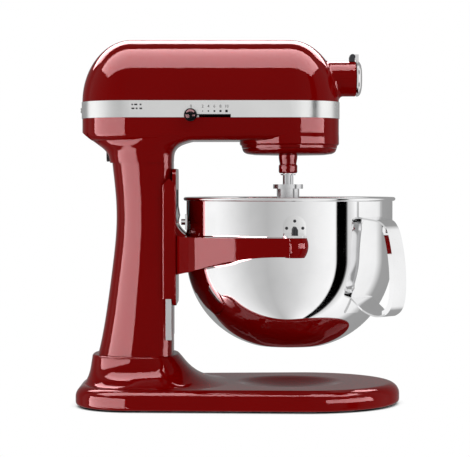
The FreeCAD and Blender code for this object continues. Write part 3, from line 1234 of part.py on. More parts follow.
# ---------------------------------------------------------------- speed control
def speed_lever():
    """Flat steel strip through the slot, with the pin for the knob."""
    strip = box(SPEED_KNOB_X - 3, SPEED_KNOB_X + 3, -66.0, -46.0, SPEED_SLOT_Z - 0.8, SPEED_SLOT_Z + 0.8)
    carrier = box(SPEED_KNOB_X - 9, SPEED_KNOB_X + 9, -52.5, -46.0, SPEED_SLOT_Z - 3.5, SPEED_SLOT_Z + 3.5)
    return fuse([strip, carrier])


def speed_knob():
    ball = Part.makeSphere(SPEED_KNOB_RADIUS, Vector(SPEED_KNOB_X, -70.5, SPEED_SLOT_Z + 1.0))
    hole = box(SPEED_KNOB_X - 3.02, SPEED_KNOB_X + 3.02, -66.02, -60.0,
               SPEED_SLOT_Z - 0.82, SPEED_SLOT_Z + 0.82)
    return ball.cut(hole)


def speed_board():
    """Circuit board of the speed control, below the lever."""
    board = box(-128, -60, -47.0, -45.4, 309.0, 323.5)
    parts = [box(-124, -112, -45.4, -38, 311, 321), box(-104, -96, -45.4, -40, 311, 321),
             box(-88, -70, -45.4, -41, 312, 320)]
    return fuse([board] + parts)


# ---------------------------------------------------------------- saving
SUB_PARTS = {
    "base": base,
    "rubber_feet": feet,
    "column": column,
    "column_foot_flange": column_foot,
    "column_bolts": column_bolts,
    "guide_rails": guide_rails,
    "lever_bushes": lever_bushes,
    "lower_housing": lower_housing,
    "upper_housing": upper_housing,
    "trim_band": trim_band,
    "band_screws": band_screws,
    "cord_gland": cord_gland,
    "attachment_hub": attachment_hub,
    "hub_hinge_bracket": hub_hinge_bracket,
    "hub_bush": hub_bush,
    "gearbox_plate": gearbox_plate,
    "gearbox_screws": gearbox_screws,
    "centre_bearing": centre_bearing,
    "ring_gear": ring_gear,
    "stator": stator,
    "stator_coils": stator_coils,
    "motor_front_bracket": lambda: motor_bracket(-64, 8.0, 11.0),
    "motor_rear_bracket": lambda: motor_bracket(-208, 8.0, 11.0),
    "motor_bearings": motor_bearings,
    "brush_holders": brush_holders,
    "carbon_brushes": carbon_brushes,
    "speed_board": speed_board,
    "speed_lever": speed_lever,
    "speed_knob": speed_knob,
    "hub_cover": hub_cover,
    "hub_knob": hub_knob,
    "hub_knob_screw": hub_knob_screw,
    "hub_drive_shaft": hub_drive,
    "yoke": yoke,
    "locating_pins": locating_pins,
    "lift_lug": lift_lug,
    "lug_screws": lug_screws,
    "latch_spring": latch_spring,
    "lever_shaft": lever_shaft,
    "lift_crank": crank,
    "lever_arm": lever_arm,
    "lever_grip": lever_grip,
    "bowl": bowl,
    "bowl_handle": bowl_handle,
    "bowl_side_brackets": bowl_side_brackets,
    "bowl_rear_lug": bowl_rear_lug,
    "planetary_housing": planetary_housing,
    "centre_shaft": centre_shaft,
    "centre_gear": centre_gear,
    "centre_bevel_gear": centre_bevel,
    "beater_shaft": beater_shaft,
    "planet_pinion": planet_pinion,
    "shaft_washer": shaft_washer,
    "flat_beater": flat_beater,
    "worm_wheel": worm_wheel,
    "transfer_shaft": transfer_shaft,
    "armature_shaft": armature_shaft,
    "armature_core": armature_core,
    "armature_winding": armature_winding,
    "commutator_and_fan": lambda: Part.makeCompound([commutator(), cooling_fan()]),
}


def save_all(names=None):
    os.makedirs("parts", exist_ok=True)
    for name, make in SUB_PARTS.items():
        if names and name not in names:
            continue
        shape = moved(make(), x=BOWL_AXIS_X)
        solids = shape.Solids
        state = "" if shape.isValid() else "  NOT VALID"
        print(f"{name:22s} solids {len(solids):3d}  volume {shape.Volume / 1000:9.1f} cm3{state}")
        shape.exportStep(f"parts/{name}.step")


if __name__ == "__main__":
    save_all()
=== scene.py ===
"""Looks of a bowl-lift stand mixer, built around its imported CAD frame.

Laid out as an add-on and run as a script.  Lengths are metres, in the frame's own axes: +Z up, +X to the
front of the mixer, +Y to the lift lever, origin on the counter.
"""

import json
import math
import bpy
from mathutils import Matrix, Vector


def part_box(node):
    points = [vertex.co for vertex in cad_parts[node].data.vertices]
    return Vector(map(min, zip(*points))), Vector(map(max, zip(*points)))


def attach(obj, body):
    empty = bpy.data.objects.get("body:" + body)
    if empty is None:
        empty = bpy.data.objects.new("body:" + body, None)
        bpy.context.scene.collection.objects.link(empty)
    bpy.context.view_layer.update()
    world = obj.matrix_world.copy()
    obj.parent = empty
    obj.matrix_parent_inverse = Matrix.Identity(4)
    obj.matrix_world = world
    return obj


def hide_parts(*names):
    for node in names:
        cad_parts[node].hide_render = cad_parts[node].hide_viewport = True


bl_info = {
    "name": "Stand mixer looks",
    "version": (1, 0, 0),
    "blender": (4, 5, 0),
    "location": "3D View > Sidebar > Mixer",
    "description": "Builds the finished surfaces, trim and studio of a bowl-lift stand mixer",
    "category": "Object",
}

import bmesh
import bpy
from bpy.props import FloatProperty, FloatVectorProperty, PointerProperty
from mathutils import Matrix, Vector

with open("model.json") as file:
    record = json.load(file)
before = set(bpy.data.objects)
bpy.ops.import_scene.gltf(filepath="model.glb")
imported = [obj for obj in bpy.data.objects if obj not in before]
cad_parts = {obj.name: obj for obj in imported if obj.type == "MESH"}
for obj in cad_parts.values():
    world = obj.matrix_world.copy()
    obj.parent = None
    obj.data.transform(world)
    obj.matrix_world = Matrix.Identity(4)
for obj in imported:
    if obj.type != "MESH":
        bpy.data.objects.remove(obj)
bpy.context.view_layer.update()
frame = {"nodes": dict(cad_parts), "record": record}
NODES = frame["nodes"]

MM = 0.001


# ---------------------------------------------------------------- places read from the frame
def middle(node):
    """The middle of a CAD node's box, in metres."""
    low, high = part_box(node)
    return (Vector(low) + Vector(high)) / 2


BOWL_CENTRE = middle("bowl").xy.to_3d()          # the bowl's axis, on the counter
HEAD_LOW, HEAD_HIGH = (Vector(c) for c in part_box("upper_housing"))
HEAD_RADIUS = (HEAD_HIGH.y - HEAD_LOW.y) / 2
HEAD_FRONT_X = HEAD_HIGH.x - HEAD_RADIUS         # centres of the head's two round ends
HEAD_REAR_X = HEAD_LOW.x + HEAD_RADIUS
BAND_LOW, BAND_HIGH = (Vector(c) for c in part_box("trim_band"))
BOWL_LOW, BOWL_HIGH = (Vector(c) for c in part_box("bowl"))

# ---------------------------------------------------------------- sizes of the finished pieces, in mm
POLE_RADIUS = 0.5                                # the small face that closes a turned piece
BEAD_RADIUS = 2.1                                # rolled rim of the bowl
BEAD_INSET = 0.9
BEAD_START, BEAD_END = -125, 180                 # degrees of the bead's circle that the sheet follows
BOWL_OUTSIDE = (BOWL_HIGH.x - BOWL_LOW.x) / 2 / MM - 2 * BEAD_RADIUS + BEAD_INSET
BOWL_CORNER_RADIUS = 105.0
BOWL_FLAT_RADIUS = 38.0
BOWL_WALL = 1.2
BASE_DIMPLE = 0.8                                # the bottom is pressed up by this much inside its foot ring
DIMPLE_RADIUS = BOWL_FLAT_RADIUS - 9
FOOT_RING_RADIUS = BOWL_FLAT_RADIUS - 5
OUTER_WALL_TOP = 5.0                             # the straight wall ends this far below the rim
INNER_WALL_TOP = 4.0

PLATE_THICKNESS = 2.3                            # pin brackets: pressed plate over the bowl's wall
PLATE_MARGIN = 0.3
PLATE_ROUNDING = 0.9
PLATE_GAP = 0.1
FLANGE_THICKNESS = 2.4
BLANK_REACH = 150.0                              # plates are cut from a bar this long to each side
PLATE_FACE_DEPTH = 0.06                          # faces nearer the bowl than this are the edges painted dark as shade
RIVET_PROFILE = ((0.3, 1.5), (1.0, 1.4), (1.5, 1.0), (1.8, 0.3), (1.8, -0.8), (0.3, -0.8))
RIVET_SEAT = 1.9                                 # above the bowl's wall
RIVET_TILT_SEAT = 1.8                            # the same, where its tilt is worked out
RIVET_TOP_DROP = 5.6                             # below the top of the bracket
RIVET_SIDE_DROP = 1.2                            # below the middle of its round
RIVET_EDGE = 3.4                                 # in from its sides

HEAD_WALL = 3.0
SKIRT_STEPS = 2                                  # rows of faces between the dome and the seam

PRINT_HEIGHT = 0.04
PRINT_CORNER = 0.12
DIGIT_SIZE = 4.7
DIGIT_Z = 339.7
SQUARE_Z = 334.4
SQUARE_LEAST = 0.7
SQUARE_GROWTH = 0.42                             # each speed's square is this much larger than the last
SPEED_STEPS = (("0", -53.1), ("2", -40.0), ("4", -33.5), ("6", -26.8), ("8", -20.0), ("10", -13.2))
SLOT_LIP = (-32.9, 330.6, 49.0, 1.0)             # lip above the lever's slot: middle x and z, width, height
RATING_X = -119.0
RATING_HEIGHT = 1.7
RATING_ROWS = ((341.8, ((0.0, 1.6), (4.0, 3.4), (9.4, 2.0))),    # height, then each bar's start and width
               (337.4, ((0.8, 3.2), (5.0, 2.0), (9.6, 3.0))))
TOUCHING = 1e-6                                  # metres: closer than this counts as in the same place


# ---------------------------------------------------------------- settings a user would change
class StudioSettings(bpy.types.PropertyGroup):
    camera_distance: FloatProperty(name="Camera distance", default=2.1, unit="LENGTH",
                                   description="From the camera to the mixer's middle plane")
    camera_height: FloatProperty(name="Camera height", default=0.2548, unit="LENGTH",
                                 description="Height of the lens above the counter")
    camera_offset: FloatProperty(name="Camera offset", default=-0.0627, unit="LENGTH",
                                 description="How far the camera stands behind the bowl's axis")
    camera_pitch: FloatProperty(name="Camera pitch", default=math.radians(-1.464), subtype="ANGLE",
                                description="Tilt of the camera from level; below zero looks down")
    lens: FloatProperty(name="Lens", default=139.3, description="Focal length on a 36 mm sensor")
    box_radiance: FloatProperty(name="Soft box radiance", default=72.0, min=0,
                                description="Brightness of the soft boxes that enamel and gloss black mirror")
    box_tint: FloatVectorProperty(name="Soft box tint", subtype="COLOR", size=3, default=(1.0, 0.53, 0.55),
                                  min=0, max=1, description="Colour of those soft boxes")


class FinishSettings(bpy.types.PropertyGroup):
    enamel: FloatVectorProperty(name="Enamel", subtype="COLOR", size=3, default=(0.235, 0.0010, 0.0010),
                                min=0, max=1, description="Colour of the enamelled castings")
    steel: FloatVectorProperty(name="Polished steel", subtype="COLOR", size=3, default=(0.96, 0.96, 0.965),
                               min=0, max=1, description="Colour of the polished bowl and its handle")


# ---------------------------------------------------------------- node helpers
def new_group(name, inputs, outputs):
    """An empty shader node group with named sockets: (name, kind, default) in, (name, kind) out."""
    group = bpy.data.node_groups.new(name, "ShaderNodeTree")
    for title, kind, default in inputs:
        socket = group.interface.new_socket(title, in_out="INPUT", socket_type="NodeSocket" + kind)
        if default is not None:
            socket.default_value = default
    for title, kind in outputs:
        group.interface.new_socket(title, in_out="OUTPUT", socket_type="NodeSocket" + kind)
    source = group.nodes.new("NodeGroupInput")
    sink = group.nodes.new("NodeGroupOutput")
    return group, source, sink


def add_node(tree, kind, **settings):
    """A new node of the given kind, with its own settings."""
    node = tree.nodes.new("ShaderNode" + kind)
    for name, value in settings.items():
        setattr(node, name, value)
    return node


def set_inputs(node, **values):
    """Sets unlinked sockets; From_Min stands for the socket From Min."""
    for title, value in values.items():
        node.inputs[title.replace("_", " ")].default_value = value


def chain(tree, *pairs):
    """Links each (output, input) pair."""
    for out_socket, in_socket in pairs:
        tree.links.new(out_socket, in_socket)


def sprayed_group():
    """Faint waviness of sprayed enamel."""
    group, source, sink = new_group(
        "Sprayed surface",
        [("Vector", "Vector", None), ("Scale", "Float", 400.0), ("Height", "Float", 0.1)],
        [("Normal", "Vector")])
    noise = add_node(group, "TexNoise")
    set_inputs(noise, Detail=1.5)
    bump = add_node(group, "Bump")
    set_inputs(bump, Distance=0.0002)
    chain(group,
          (source.outputs["Vector"], noise.inputs["Vector"]),
          (source.outputs["Scale"], noise.inputs["Scale"]),
          (source.outputs["Height"], bump.inputs["Strength"]),
          (noise.outputs["Fac"], bump.inputs["Height"]),
          (bump.outputs["Normal"], sink.inputs["Normal"]))
    return group


def wiped_group():
    """Roughness that drifts a little from place to place, as handling and wiping leave it."""
    group, source, sink = new_group(
        "Wiped surface",
        [("Vector", "Vector", None), ("Scale", "Float", 12.0), ("Least", "Float", 0.05),
         ("Most", "Float", 0.12)],
        [("Roughness", "Float")])
    noise = add_node(group, "TexNoise")
    set_inputs(noise, Detail=5.0, Roughness=0.62)
    spread = add_node(group, "MapRange")
    set_inputs(spread, From_Min=0.3, From_Max=0.7)
    chain(group,
          (source.outputs["Vector"], noise.inputs["Vector"]),
          (source.outputs["Scale"], noise.inputs["Scale"]),
          (source.outputs["Least"], spread.inputs["To Min"]),
          (source.outputs["Most"], spread.inputs["To Max"]),
          (noise.outputs["Fac"], spread.inputs["Value"]),
          (spread.outputs["Result"], sink.inputs["Roughness"]))
    return group


def brushed_group():
    """Long fine lines, drawn out by how much each axis is stretched."""
    group, source, sink = new_group(
        "Brushed lines",
        [("Vector", "Vector", None), ("Stretch", "Vector", (4, 900, 900)), ("Depth", "Float", 0.1)],
        [("Normal", "Vector")])
    stretch = add_node(group, "VectorMath", operation="MULTIPLY")
    noise = add_node(group, "TexNoise")
    set_inputs(noise, Scale=1.0, Detail=3.0)
    bump = add_node(group, "Bump")
    set_inputs(bump, Distance=0.0001)
    chain(group,
          (source.outputs["Vector"], stretch.inputs[0]),
          (source.outputs["Stretch"], stretch.inputs[1]),
          (source.outputs["Depth"], bump.inputs["Strength"]),
          (stretch.outputs["Vector"], noise.inputs["Vector"]),
          (noise.outputs["Fac"], bump.inputs["Height"]),
          (bump.outputs["Normal"], sink.inputs["Normal"]))
    return group


GROUP_MAKERS = {"sprayed": sprayed_group, "wiped": wiped_group, "brushed": brushed_group}
GROUPS = {}


def place_group(tree, name, vector, **values):
    """Adds a shared group to a tree; the group itself is made the first time it is asked for."""
    if name not in GROUPS:
        GROUPS[name] = GROUP_MAKERS[name]()
    node = add_node(tree, "Group")
    node.node_tree = GROUPS[name]
    tree.links.new(vector, node.inputs["Vector"])
    set_inputs(node, **values)
    return node


def start_material(name, color, **sockets):
    """A new material: its tree, its Principled shader and an Object coordinate to build on."""
    material = bpy.data.materials.new(name)
    material.use_nodes = True
    tree = material.node_tree
    shader = tree.nodes["Principled BSDF"]
    set_inputs(shader, Base_Color=(*color, 1), **sockets)
    place = add_node(tree, "TexCoord").outputs["Object"]
    return material, tree, shader, place


def drifting_color(tree, place, shader, first, second, scale):
    """Feeds Base Color with a slow drift between two near colours."""
    noise = add_node(tree, "TexNoise")
    set_inputs(noise, Scale=scale, Detail=4.0)
    ramp = add_node(tree, "ValToRGB")
    for stop, position, color in zip(ramp.color_ramp.elements, (0.35, 0.65), (first, second)):
        stop.position = position
        stop.color = (*color, 1)
    chain(tree,
          (place, noise.inputs["Vector"]),
          (noise.outputs["Fac"], ramp.inputs["Fac"]),
          (ramp.outputs["Color"], shader.inputs["Base Color"]))


# ---------------------------------------------------------------- materials
def enamel():
    """Deep gloss enamel over a casting."""
    color = tuple(bpy.context.scene.mixer_finish.enamel)
    material, tree, shader, place = start_material("gloss_enamel", color, Specular_IOR_Level=0.05)
    deeper = tuple(c * 0.94 for c in color)
    drifting_color(tree, place, shader, deeper, color, 9.0)
    wiped = place_group(tree, "wiped", place, Scale=14.0, Least=0.02, Most=0.045)
    sprayed = place_group(tree, "sprayed", place, Scale=260.0, Height=0.02)
    chain(tree,
          (wiped.outputs["Roughness"], shader.inputs["Roughness"]),
          (sprayed.outputs["Normal"], shader.inputs["Normal"]))
    return material


def metal(name, color, least, most, stretch=None, depth=0.05, scale=30.0):
    """Bare metal whose polish drifts between two roughnesses, with brushed lines if stretch is given."""
    material, tree, shader, place = start_material(name, color, Metallic=1.0)
    darker = tuple(c * 0.93 for c in color)
    drifting_color(tree, place, shader, darker, color, 22.0)
    wiped = place_group(tree, "wiped", place, Scale=scale, Least=least, Most=most)
    tree.links.new(wiped.outputs["Roughness"], shader.inputs["Roughness"])
    if stretch:
        lines = place_group(tree, "brushed", place, Stretch=stretch, Depth=depth)
        tree.links.new(lines.outputs["Normal"], shader.inputs["Normal"])
    return material


def moulded(name, color, least, most, grain=0.0, grain_scale=900.0, gloss=0.5):
    """Moulded plastic or rubber, with a fine grain if asked for."""
    material, tree, shader, place = start_material(name, color, Specular_IOR_Level=gloss)
    lighter = tuple(min(1.0, c * 1.25 + 0.003) for c in color)
    drifting_color(tree, place, shader, color, lighter, 40.0)
    wiped = place_group(tree, "wiped", place, Scale=25.0, Least=least, Most=most)
    tree.links.new(wiped.outputs["Roughness"], shader.inputs["Roughness"])
    if grain:
        sprayed = place_group(tree, "sprayed", place, Scale=grain_scale, Height=grain)
        tree.links.new(sprayed.outputs["Normal"], shader.inputs["Normal"])
    return material


def laminated():
    """Stacked steel sheets, seen as fine lines across the motor's axis."""
    return metal("laminated_steel", (0.30, 0.30, 0.32), 0.35, 0.5, stretch=(2600, 3, 3), depth=0.5)


def polished_steel():
    """Mirror-polished sheet with the faintest lines around it."""
    color = tuple(bpy.context.scene.mixer_finish.steel)
    return metal("polished_steel", color, 0.025, 0.06, stretch=(5, 5, 1400), depth=0.004, scale=18.0)


# By material slot; the last three are finishes that only this scene gives.
MATERIAL_MAKERS = {
    "enamel": enamel,
    "polished_steel": polished_steel,
    "brushed_trim": lambda: metal("satin_trim", (0.96, 0.96, 0.955), 0.20, 0.28, (6, 6, 2400), 0.10),
    "bright_plate": lambda: metal("bright_plate", (0.93, 0.92, 0.92), 0.06, 0.12, (900, 900, 900), 0.01),
    "machined_steel": lambda: metal("machined_steel", (0.70, 0.70, 0.71), 0.12, 0.22, (500, 500, 1800), 0.06),
    "zinc_screw": lambda: metal("zinc_plate", (0.58, 0.58, 0.56), 0.22, 0.35),
    "black_plastic": lambda: moulded("gloss_black", (0.006, 0.006, 0.007), 0.06, 0.10, gloss=0.04),
    "insulator": lambda: moulded("black_moulding", (0.012, 0.012, 0.013), 0.42, 0.55, 0.10),
    "foot_rubber": lambda: moulded("foot_rubber", (0.030, 0.030, 0.032), 0.70, 0.85, 0.25, 500.0),
    "gear_bronze": lambda: metal("gear_bronze", (0.48, 0.30, 0.12), 0.22, 0.34, (700, 700, 60), 0.05),
    "bush_bronze": lambda: metal("bush_bronze", (0.42, 0.28, 0.13), 0.35, 0.5),
    "lamination": laminated,
    "copper": lambda: metal("copper_winding", (0.62, 0.22, 0.07), 0.25, 0.35, (1200, 1200, 1200), 0.3),
    "carbon": lambda: moulded("carbon", (0.012, 0.012, 0.012), 0.5, 0.65, 0.15),
    "cast_grey": lambda: metal("bare_casting", (0.42, 0.42, 0.43), 0.42, 0.58, (300, 300, 300), 0.3),
    "beater_enamel": lambda: metal("burnished_casting", (0.80, 0.80, 0.81), 0.18, 0.28, (260,) * 3, 0.08),
    "board": lambda: moulded("circuit_board", (0.01, 0.07, 0.02), 0.35, 0.45),
    "spring_steel": lambda: metal("spring_steel", (0.60, 0.60, 0.62), 0.12, 0.2, (8, 8, 1500), 0.05),
    "print": lambda: moulded("printed_ink", (0.012, 0.012, 0.013), 0.35, 0.5),
    "bracket": lambda: metal("bracket_plate", (0.98, 0.98, 0.98), 0.06, 0.10, (900, 900, 900), 0.01),
    # Chrome painted dark: its dark colour is a painted dark reflection on small chrome fittings and painted
    # shade on the pin brackets' edges.
    "dark_chrome": lambda: metal("dark_chrome", (0.07, 0.07, 0.075), 0.05, 0.10, (900, 900, 900), 0.01),
}
MATERIALS = {}


def material_of(finish):
    """The material of a finish, made the first time it is asked for."""
    if finish not in MATERIALS:
        MATERIALS[finish] = MATERIAL_MAKERS[finish]()
    return MATERIALS[finish]


def dress(obj, material):
    """Gives an object one material only."""
    obj.data.materials.clear()
    obj.data.materials.append(material)


# ---------------------------------------------------------------- studio
PAINT_ONLY = "lit_by_paint_boxes"
# Middle, what it faces, width, depth and share of the full radiance; metres.
OVERHEAD_BOXES = {"top_box": ((-0.10, -0.26, 1.30), (-0.10, -0.26, 0.38), 2.7, 0.87, 1.0),
                  "far_top_box": ((-0.10, 0.75, 1.05), (-0.10, 0.10, 0.38), 2.0, 0.45, 0.5)}
# Two corners of the plan, then the height of the foot and of the top; metres.
UPRIGHT_BOXES = {"left_box": ((-1.05, 0.02), (-0.30, -0.78), -0.40, 0.362),
                 "right_box": ((0.44, -0.85), (1.0, -0.10), 0.0, 0.362)}
FLOOR_SIZE = 16.0
SHADE_REACH = 0.03                               # how near a piece has to be for the floor's painted contact shadow
# Brightness of the surroundings by compass bearing: 0 is towards the camera, + is to the mixer's front.
SURROUNDINGS = ((-180, 0.32), (-122, 0.30), (-112, 1.0), (-88, 1.0), (-65, 0.80), (-45, 0.58), (-26, 0.50),
                (-8, 0.60), (10, 0.71), (28, 0.87), (50.5, 1.0), (51.5, 0.0), (64.5, 0.0), (65.5, 0.66),
                (76, 1.0), (110, 0.90), (125, 0.35), (180, 0.32))


def paint_group():
    """The collection of enamelled and gloss black pieces, the only ones that mirror the soft boxes."""
    found = bpy.data.collections.get(PAINT_ONLY)
    return found if found else bpy.data.collections.new(PAINT_ONLY)


def soft_box(name, location, target, width, height, radiance, color):
    """A rectangular light that only shows as a reflection, and faintly in a reflection of one."""
    light = bpy.data.lights.new(name, "AREA")
    light.shape = "RECTANGLE"
    light.size = width
    light.size_y = height
    light.energy = radiance * math.pi * width * height
    light.color = color
    light.use_nodes = True
    tree = light.node_tree
    fade = add_node(tree, "MapRange")
    set_inputs(fade, From_Min=2.0, From_Max=3.0, To_Min=1.0, To_Max=0.2)
    chain(tree,
          (add_node(tree, "LightPath").outputs["Ray Depth"], fade.inputs["Value"]),
          (fade.outputs["Result"], tree.nodes["Emission"].inputs["Strength"]))
    holder = bpy.data.objects.new(name, light)
    bpy.context.scene.collection.objects.link(holder)
    holder.location = location
    direction = Vector(target) - Vector(location)
    holder.rotation_euler = direction.to_track_quat("-Z", "Y").to_euler()
    holder.visible_camera = False
    holder.visible_diffuse = False
    holder.light_linking.receiver_collection = paint_group()


def box_between(name, near_corner, far_corner, low, high, radiance, color):
    """An upright soft box whose plan runs from one corner to the other, facing the mixer."""
    start, end = Vector((*near_corner, 0)), Vector((*far_corner, 0))
    across = end - start
    centre = (start + end) / 2 + Vector((0, 0, (low + high) / 2))
    facing = Vector((-across.y, across.x, 0)).normalized()
    if facing.dot(BOWL_CENTRE - centre) < 0:
        facing.negate()
    soft_box(name, centre, centre + facing, across.length, high - low, radiance, color)


def white_floor():
    """White to the camera, with a painted contact shadow, a tight dark line where the mixer meets it; nothing
    mirrors it.
    """
    bpy.ops.mesh.primitive_plane_add(size=FLOOR_SIZE, location=(0, 0, 0))
    floor = bpy.context.object
    floor.name = "studio_floor"
    floor.visible_diffuse = False
    floor.visible_glossy = False
    floor.visible_shadow = False
    material, tree, shader, place = start_material(
        "studio_floor", (0, 0, 0), Roughness=1.0, Specular_IOR_Level=0.0, Emission_Color=(1, 1, 1, 1))
    # Painted contact shadow: occlusion near the mixer turns the floor's glow down to a dark line.
    painted_contact_shadow = add_node(tree, "AmbientOcclusion", samples=8)
    set_inputs(painted_contact_shadow, Distance=SHADE_REACH)
    lift = add_node(tree, "MapRange")
    set_inputs(lift, From_Min=0.12, From_Max=0.62)
    chain(tree,
          (painted_contact_shadow.outputs["AO"], lift.inputs["Value"]),
          (lift.outputs["Result"], shader.inputs["Emission Strength"]))
    dress(floor, material)


def studio_world():
    """White to the camera; cards and flags of different brightness to everything that mirrors them."""
    world = bpy.data.worlds.new("studio")
    bpy.context.scene.world = world
    world.use_nodes = True
    tree = world.node_tree
    background = tree.nodes["Background"]
    set_inputs(background, Color=(1, 1, 1, 1))
    toward = add_node(tree, "SeparateXYZ")
    flip = add_node(tree, "Math", operation="MULTIPLY")
    flip.inputs[1].default_value = -1.0
    bearing = add_node(tree, "Math", operation="ARCTAN2")
    turn = add_node(tree, "MapRange")
    set_inputs(turn, From_Min=-math.pi, From_Max=math.pi)
    ramp = add_node(tree, "ValToRGB")
    stops = ramp.color_ramp.elements
    for index, (angle, level) in enumerate(SURROUNDINGS):
        stop = stops[index] if index < len(stops) else stops.new(1.0)
        stop.position = (angle + 180) / 360
        stop.color = (level, level, level, 1)
    overhead = add_node(tree, "MapRange", interpolation_type="SMOOTHSTEP")
    set_inputs(overhead, From_Min=0.45, From_Max=0.75, To_Min=1.0, To_Max=0.95)
    dimmed = add_node(tree, "Math", operation="MULTIPLY")
    path = add_node(tree, "LightPath")
    seen = add_node(tree, "Mix")
    set_inputs(seen, B=1.0)
    chain(tree,
          (add_node(tree, "TexCoord").outputs["Generated"], toward.inputs["Vector"]),
          (toward.outputs["Y"], flip.inputs[0]),
          (toward.outputs["X"], bearing.inputs[0]),
          (flip.outputs[0], bearing.inputs[1]),
          (bearing.outputs[0], turn.inputs["Value"]),
          (turn.outputs["Result"], ramp.inputs["Fac"]),
          (toward.outputs["Z"], overhead.inputs["Value"]),
          (ramp.outputs["Color"], dimmed.inputs[0]),
          (overhead.outputs["Result"], dimmed.inputs[1]),
          (dimmed.outputs[0], seen.inputs["A"]),
          (path.outputs["Is Camera Ray"], seen.inputs["Factor"]),
          (seen.outputs["Result"], background.inputs["Strength"]))


class MIXER_OT_stage(bpy.types.Operator):
    """Adds the camera, the soft boxes, the surroundings and the white floor"""
    bl_idname = "mixer.stage"
    bl_label = "Build studio"

    def execute(self, context):
        studio = context.scene.mixer_studio
        camera = bpy.data.objects.new("camera", bpy.data.cameras.new("camera"))
        context.scene.collection.objects.link(camera)
        context.scene.camera = camera
        camera.data.lens = studio.lens
        camera.data.sensor_width = 36.0
        camera.location = (BOWL_CENTRE.x + studio.camera_offset, -studio.camera_distance,
                           studio.camera_height)
        camera.rotation_euler = (math.pi / 2 + studio.camera_pitch, 0, 0)
        context.scene.view_settings.view_transform = "Standard"
        studio_world()
        white_floor()
        tint = tuple(studio.box_tint)
        for name, (place, target, width, depth, share) in OVERHEAD_BOXES.items():
            soft_box(name, place, target, width, depth, studio.box_radiance * share, tint)
        for name, (near_corner, far_corner, foot, top) in UPRIGHT_BOXES.items():
            box_between(name, near_corner, far_corner, foot, top, studio.box_radiance, tint)
        return {"FINISHED"}


# ---------------------------------------------------------------- carried-over CAD nodes
# Small chrome fittings painted dark, a painted reflection of dark surroundings.
DARK_REFLECTION_FITTINGS = ("hub_hinge_bracket", "latch_spring", "locating_pins")


class MIXER_OT_finish_frame(bpy.types.Operator):
    """Gives every CAD node the finish of its material slot, and the small chrome fittings chrome painted
    dark, a painted dark reflection
    """
    bl_idname = "mixer.finish_frame"
    bl_label = "Finish the frame's own parts"

    def execute(self, context):
        for part in frame["record"]["subparts"]:
            finish = "dark_chrome" if part["node"] in DARK_REFLECTION_FITTINGS else part["material_slot"]
            dress(NODES[part["node"]], material_of(finish))
            if finish in ("enamel", "black_plastic"):
                paint_group().objects.link(NODES[part["node"]])
        return {"FINISHED"}


# ---------------------------------------------------------------- modelling helpers
UPRIGHT = Matrix.Rotation(math.pi / 2, 4, "X")   # stands a flat drawing up, facing the camera


def choose(*objects):
    """Selects these objects alone, the first one active."""
    bpy.ops.object.select_all(action="DESELECT")
    for obj in objects:
        obj.select_set(True)
    bpy.context.view_layer.objects.active = objects[0]


def edit_mesh():
    """Puts the active object in edit mode with everything selected."""
    bpy.ops.object.mode_set(mode="EDIT")
    bpy.ops.mesh.select_mode(type="VERT")
    bpy.ops.mesh.select_all(action="SELECT")


def pick(obj, kind, wanted):
    """Selects, in edit mode, the verts, edges or faces whose middle passes the test."""
    modes = {"verts": "VERT", "edges": "EDGE", "faces": "FACE"}
    bpy.ops.mesh.select_mode(type=modes[kind])
    bpy.ops.mesh.select_all(action="DESELECT")
    mesh = bmesh.from_edit_mesh(obj.data)
    for element in getattr(mesh, kind):
        points = [element.co] if kind == "verts" else [v.co for v in element.verts]
        if wanted(sum(points, Vector()) / len(points)):
            element.select_set(True)
    mesh.select_flush_mode()
    bmesh.update_edit_mesh(obj.data)


def tidy_mesh(obj, angle=30.0):
    """Leaves edit mode with merged doubles, outward normals and smooth shading up to an angle."""
    if obj.mode != "EDIT":
        choose(obj)
        edit_mesh()
    bpy.ops.mesh.select_all(action="SELECT")
    bpy.ops.mesh.remove_doubles(threshold=0.002 * MM)
    bpy.ops.mesh.normals_make_consistent(inside=False)
    bpy.ops.object.mode_set(mode="OBJECT")
    choose(obj)
    bpy.ops.object.shade_smooth_by_angle(angle=math.radians(angle))


def turned_piece(name, profile, segments=128, angle=30.0):
    """A piece turned about +Z: a circle drawn up through each (radius, height) in mm, closed at both ends."""
    bpy.ops.object.select_all(action="DESELECT")
    radius, height = profile[0]
    bpy.ops.mesh.primitive_circle_add(vertices=segments, radius=radius * MM, location=(0, 0, 0))
    obj = bpy.context.object
    obj.name = name
    edit_mesh()
    bpy.ops.transform.translate(value=(0, 0, height * MM))
    bpy.ops.mesh.edge_face_add()
    for next_radius, next_height in profile[1:]:
        bpy.ops.mesh.extrude_region_move(
            TRANSFORM_OT_translate={"value": (0, 0, (next_height - height) * MM)})
        ratio = next_radius / radius
        bpy.ops.transform.resize(value=(ratio, ratio, 1), center_override=(0, 0, next_height * MM))
        radius, height = next_radius, next_height
    tidy_mesh(obj, angle)
    return obj


def put(obj, turn=None, shift=(0, 0, 0)):
    """Turns and moves the mesh itself, so the object stays at the origin."""
    matrix = Matrix.Translation(Vector(shift) * MM)
    if turn is not None:
        matrix = matrix @ turn
    obj.matrix_world = matrix
    choose(obj)
    bpy.ops.object.transform_apply(location=True, rotation=True, scale=True)
    return obj


def copy_of(obj):
    """A copy with its own mesh."""
    twin = obj.copy()
    twin.data = obj.data.copy()
    bpy.context.scene.collection.objects.link(twin)
    return twin


def join(name, objects):
    """Makes one object of several."""
    choose(*objects)
    bpy.ops.object.join()
    whole = bpy.context.object
    whole.name = name
    return whole


def apply_modifier(obj, kind, **settings):
    """Adds one modifier and applies it."""
    bpy.context.view_layer.objects.active = obj
    modifier = obj.modifiers.new(kind.lower(), kind)
    for title, value in settings.items():
        setattr(modifier, title, value)
    bpy.ops.object.modifier_apply(modifier=modifier.name)


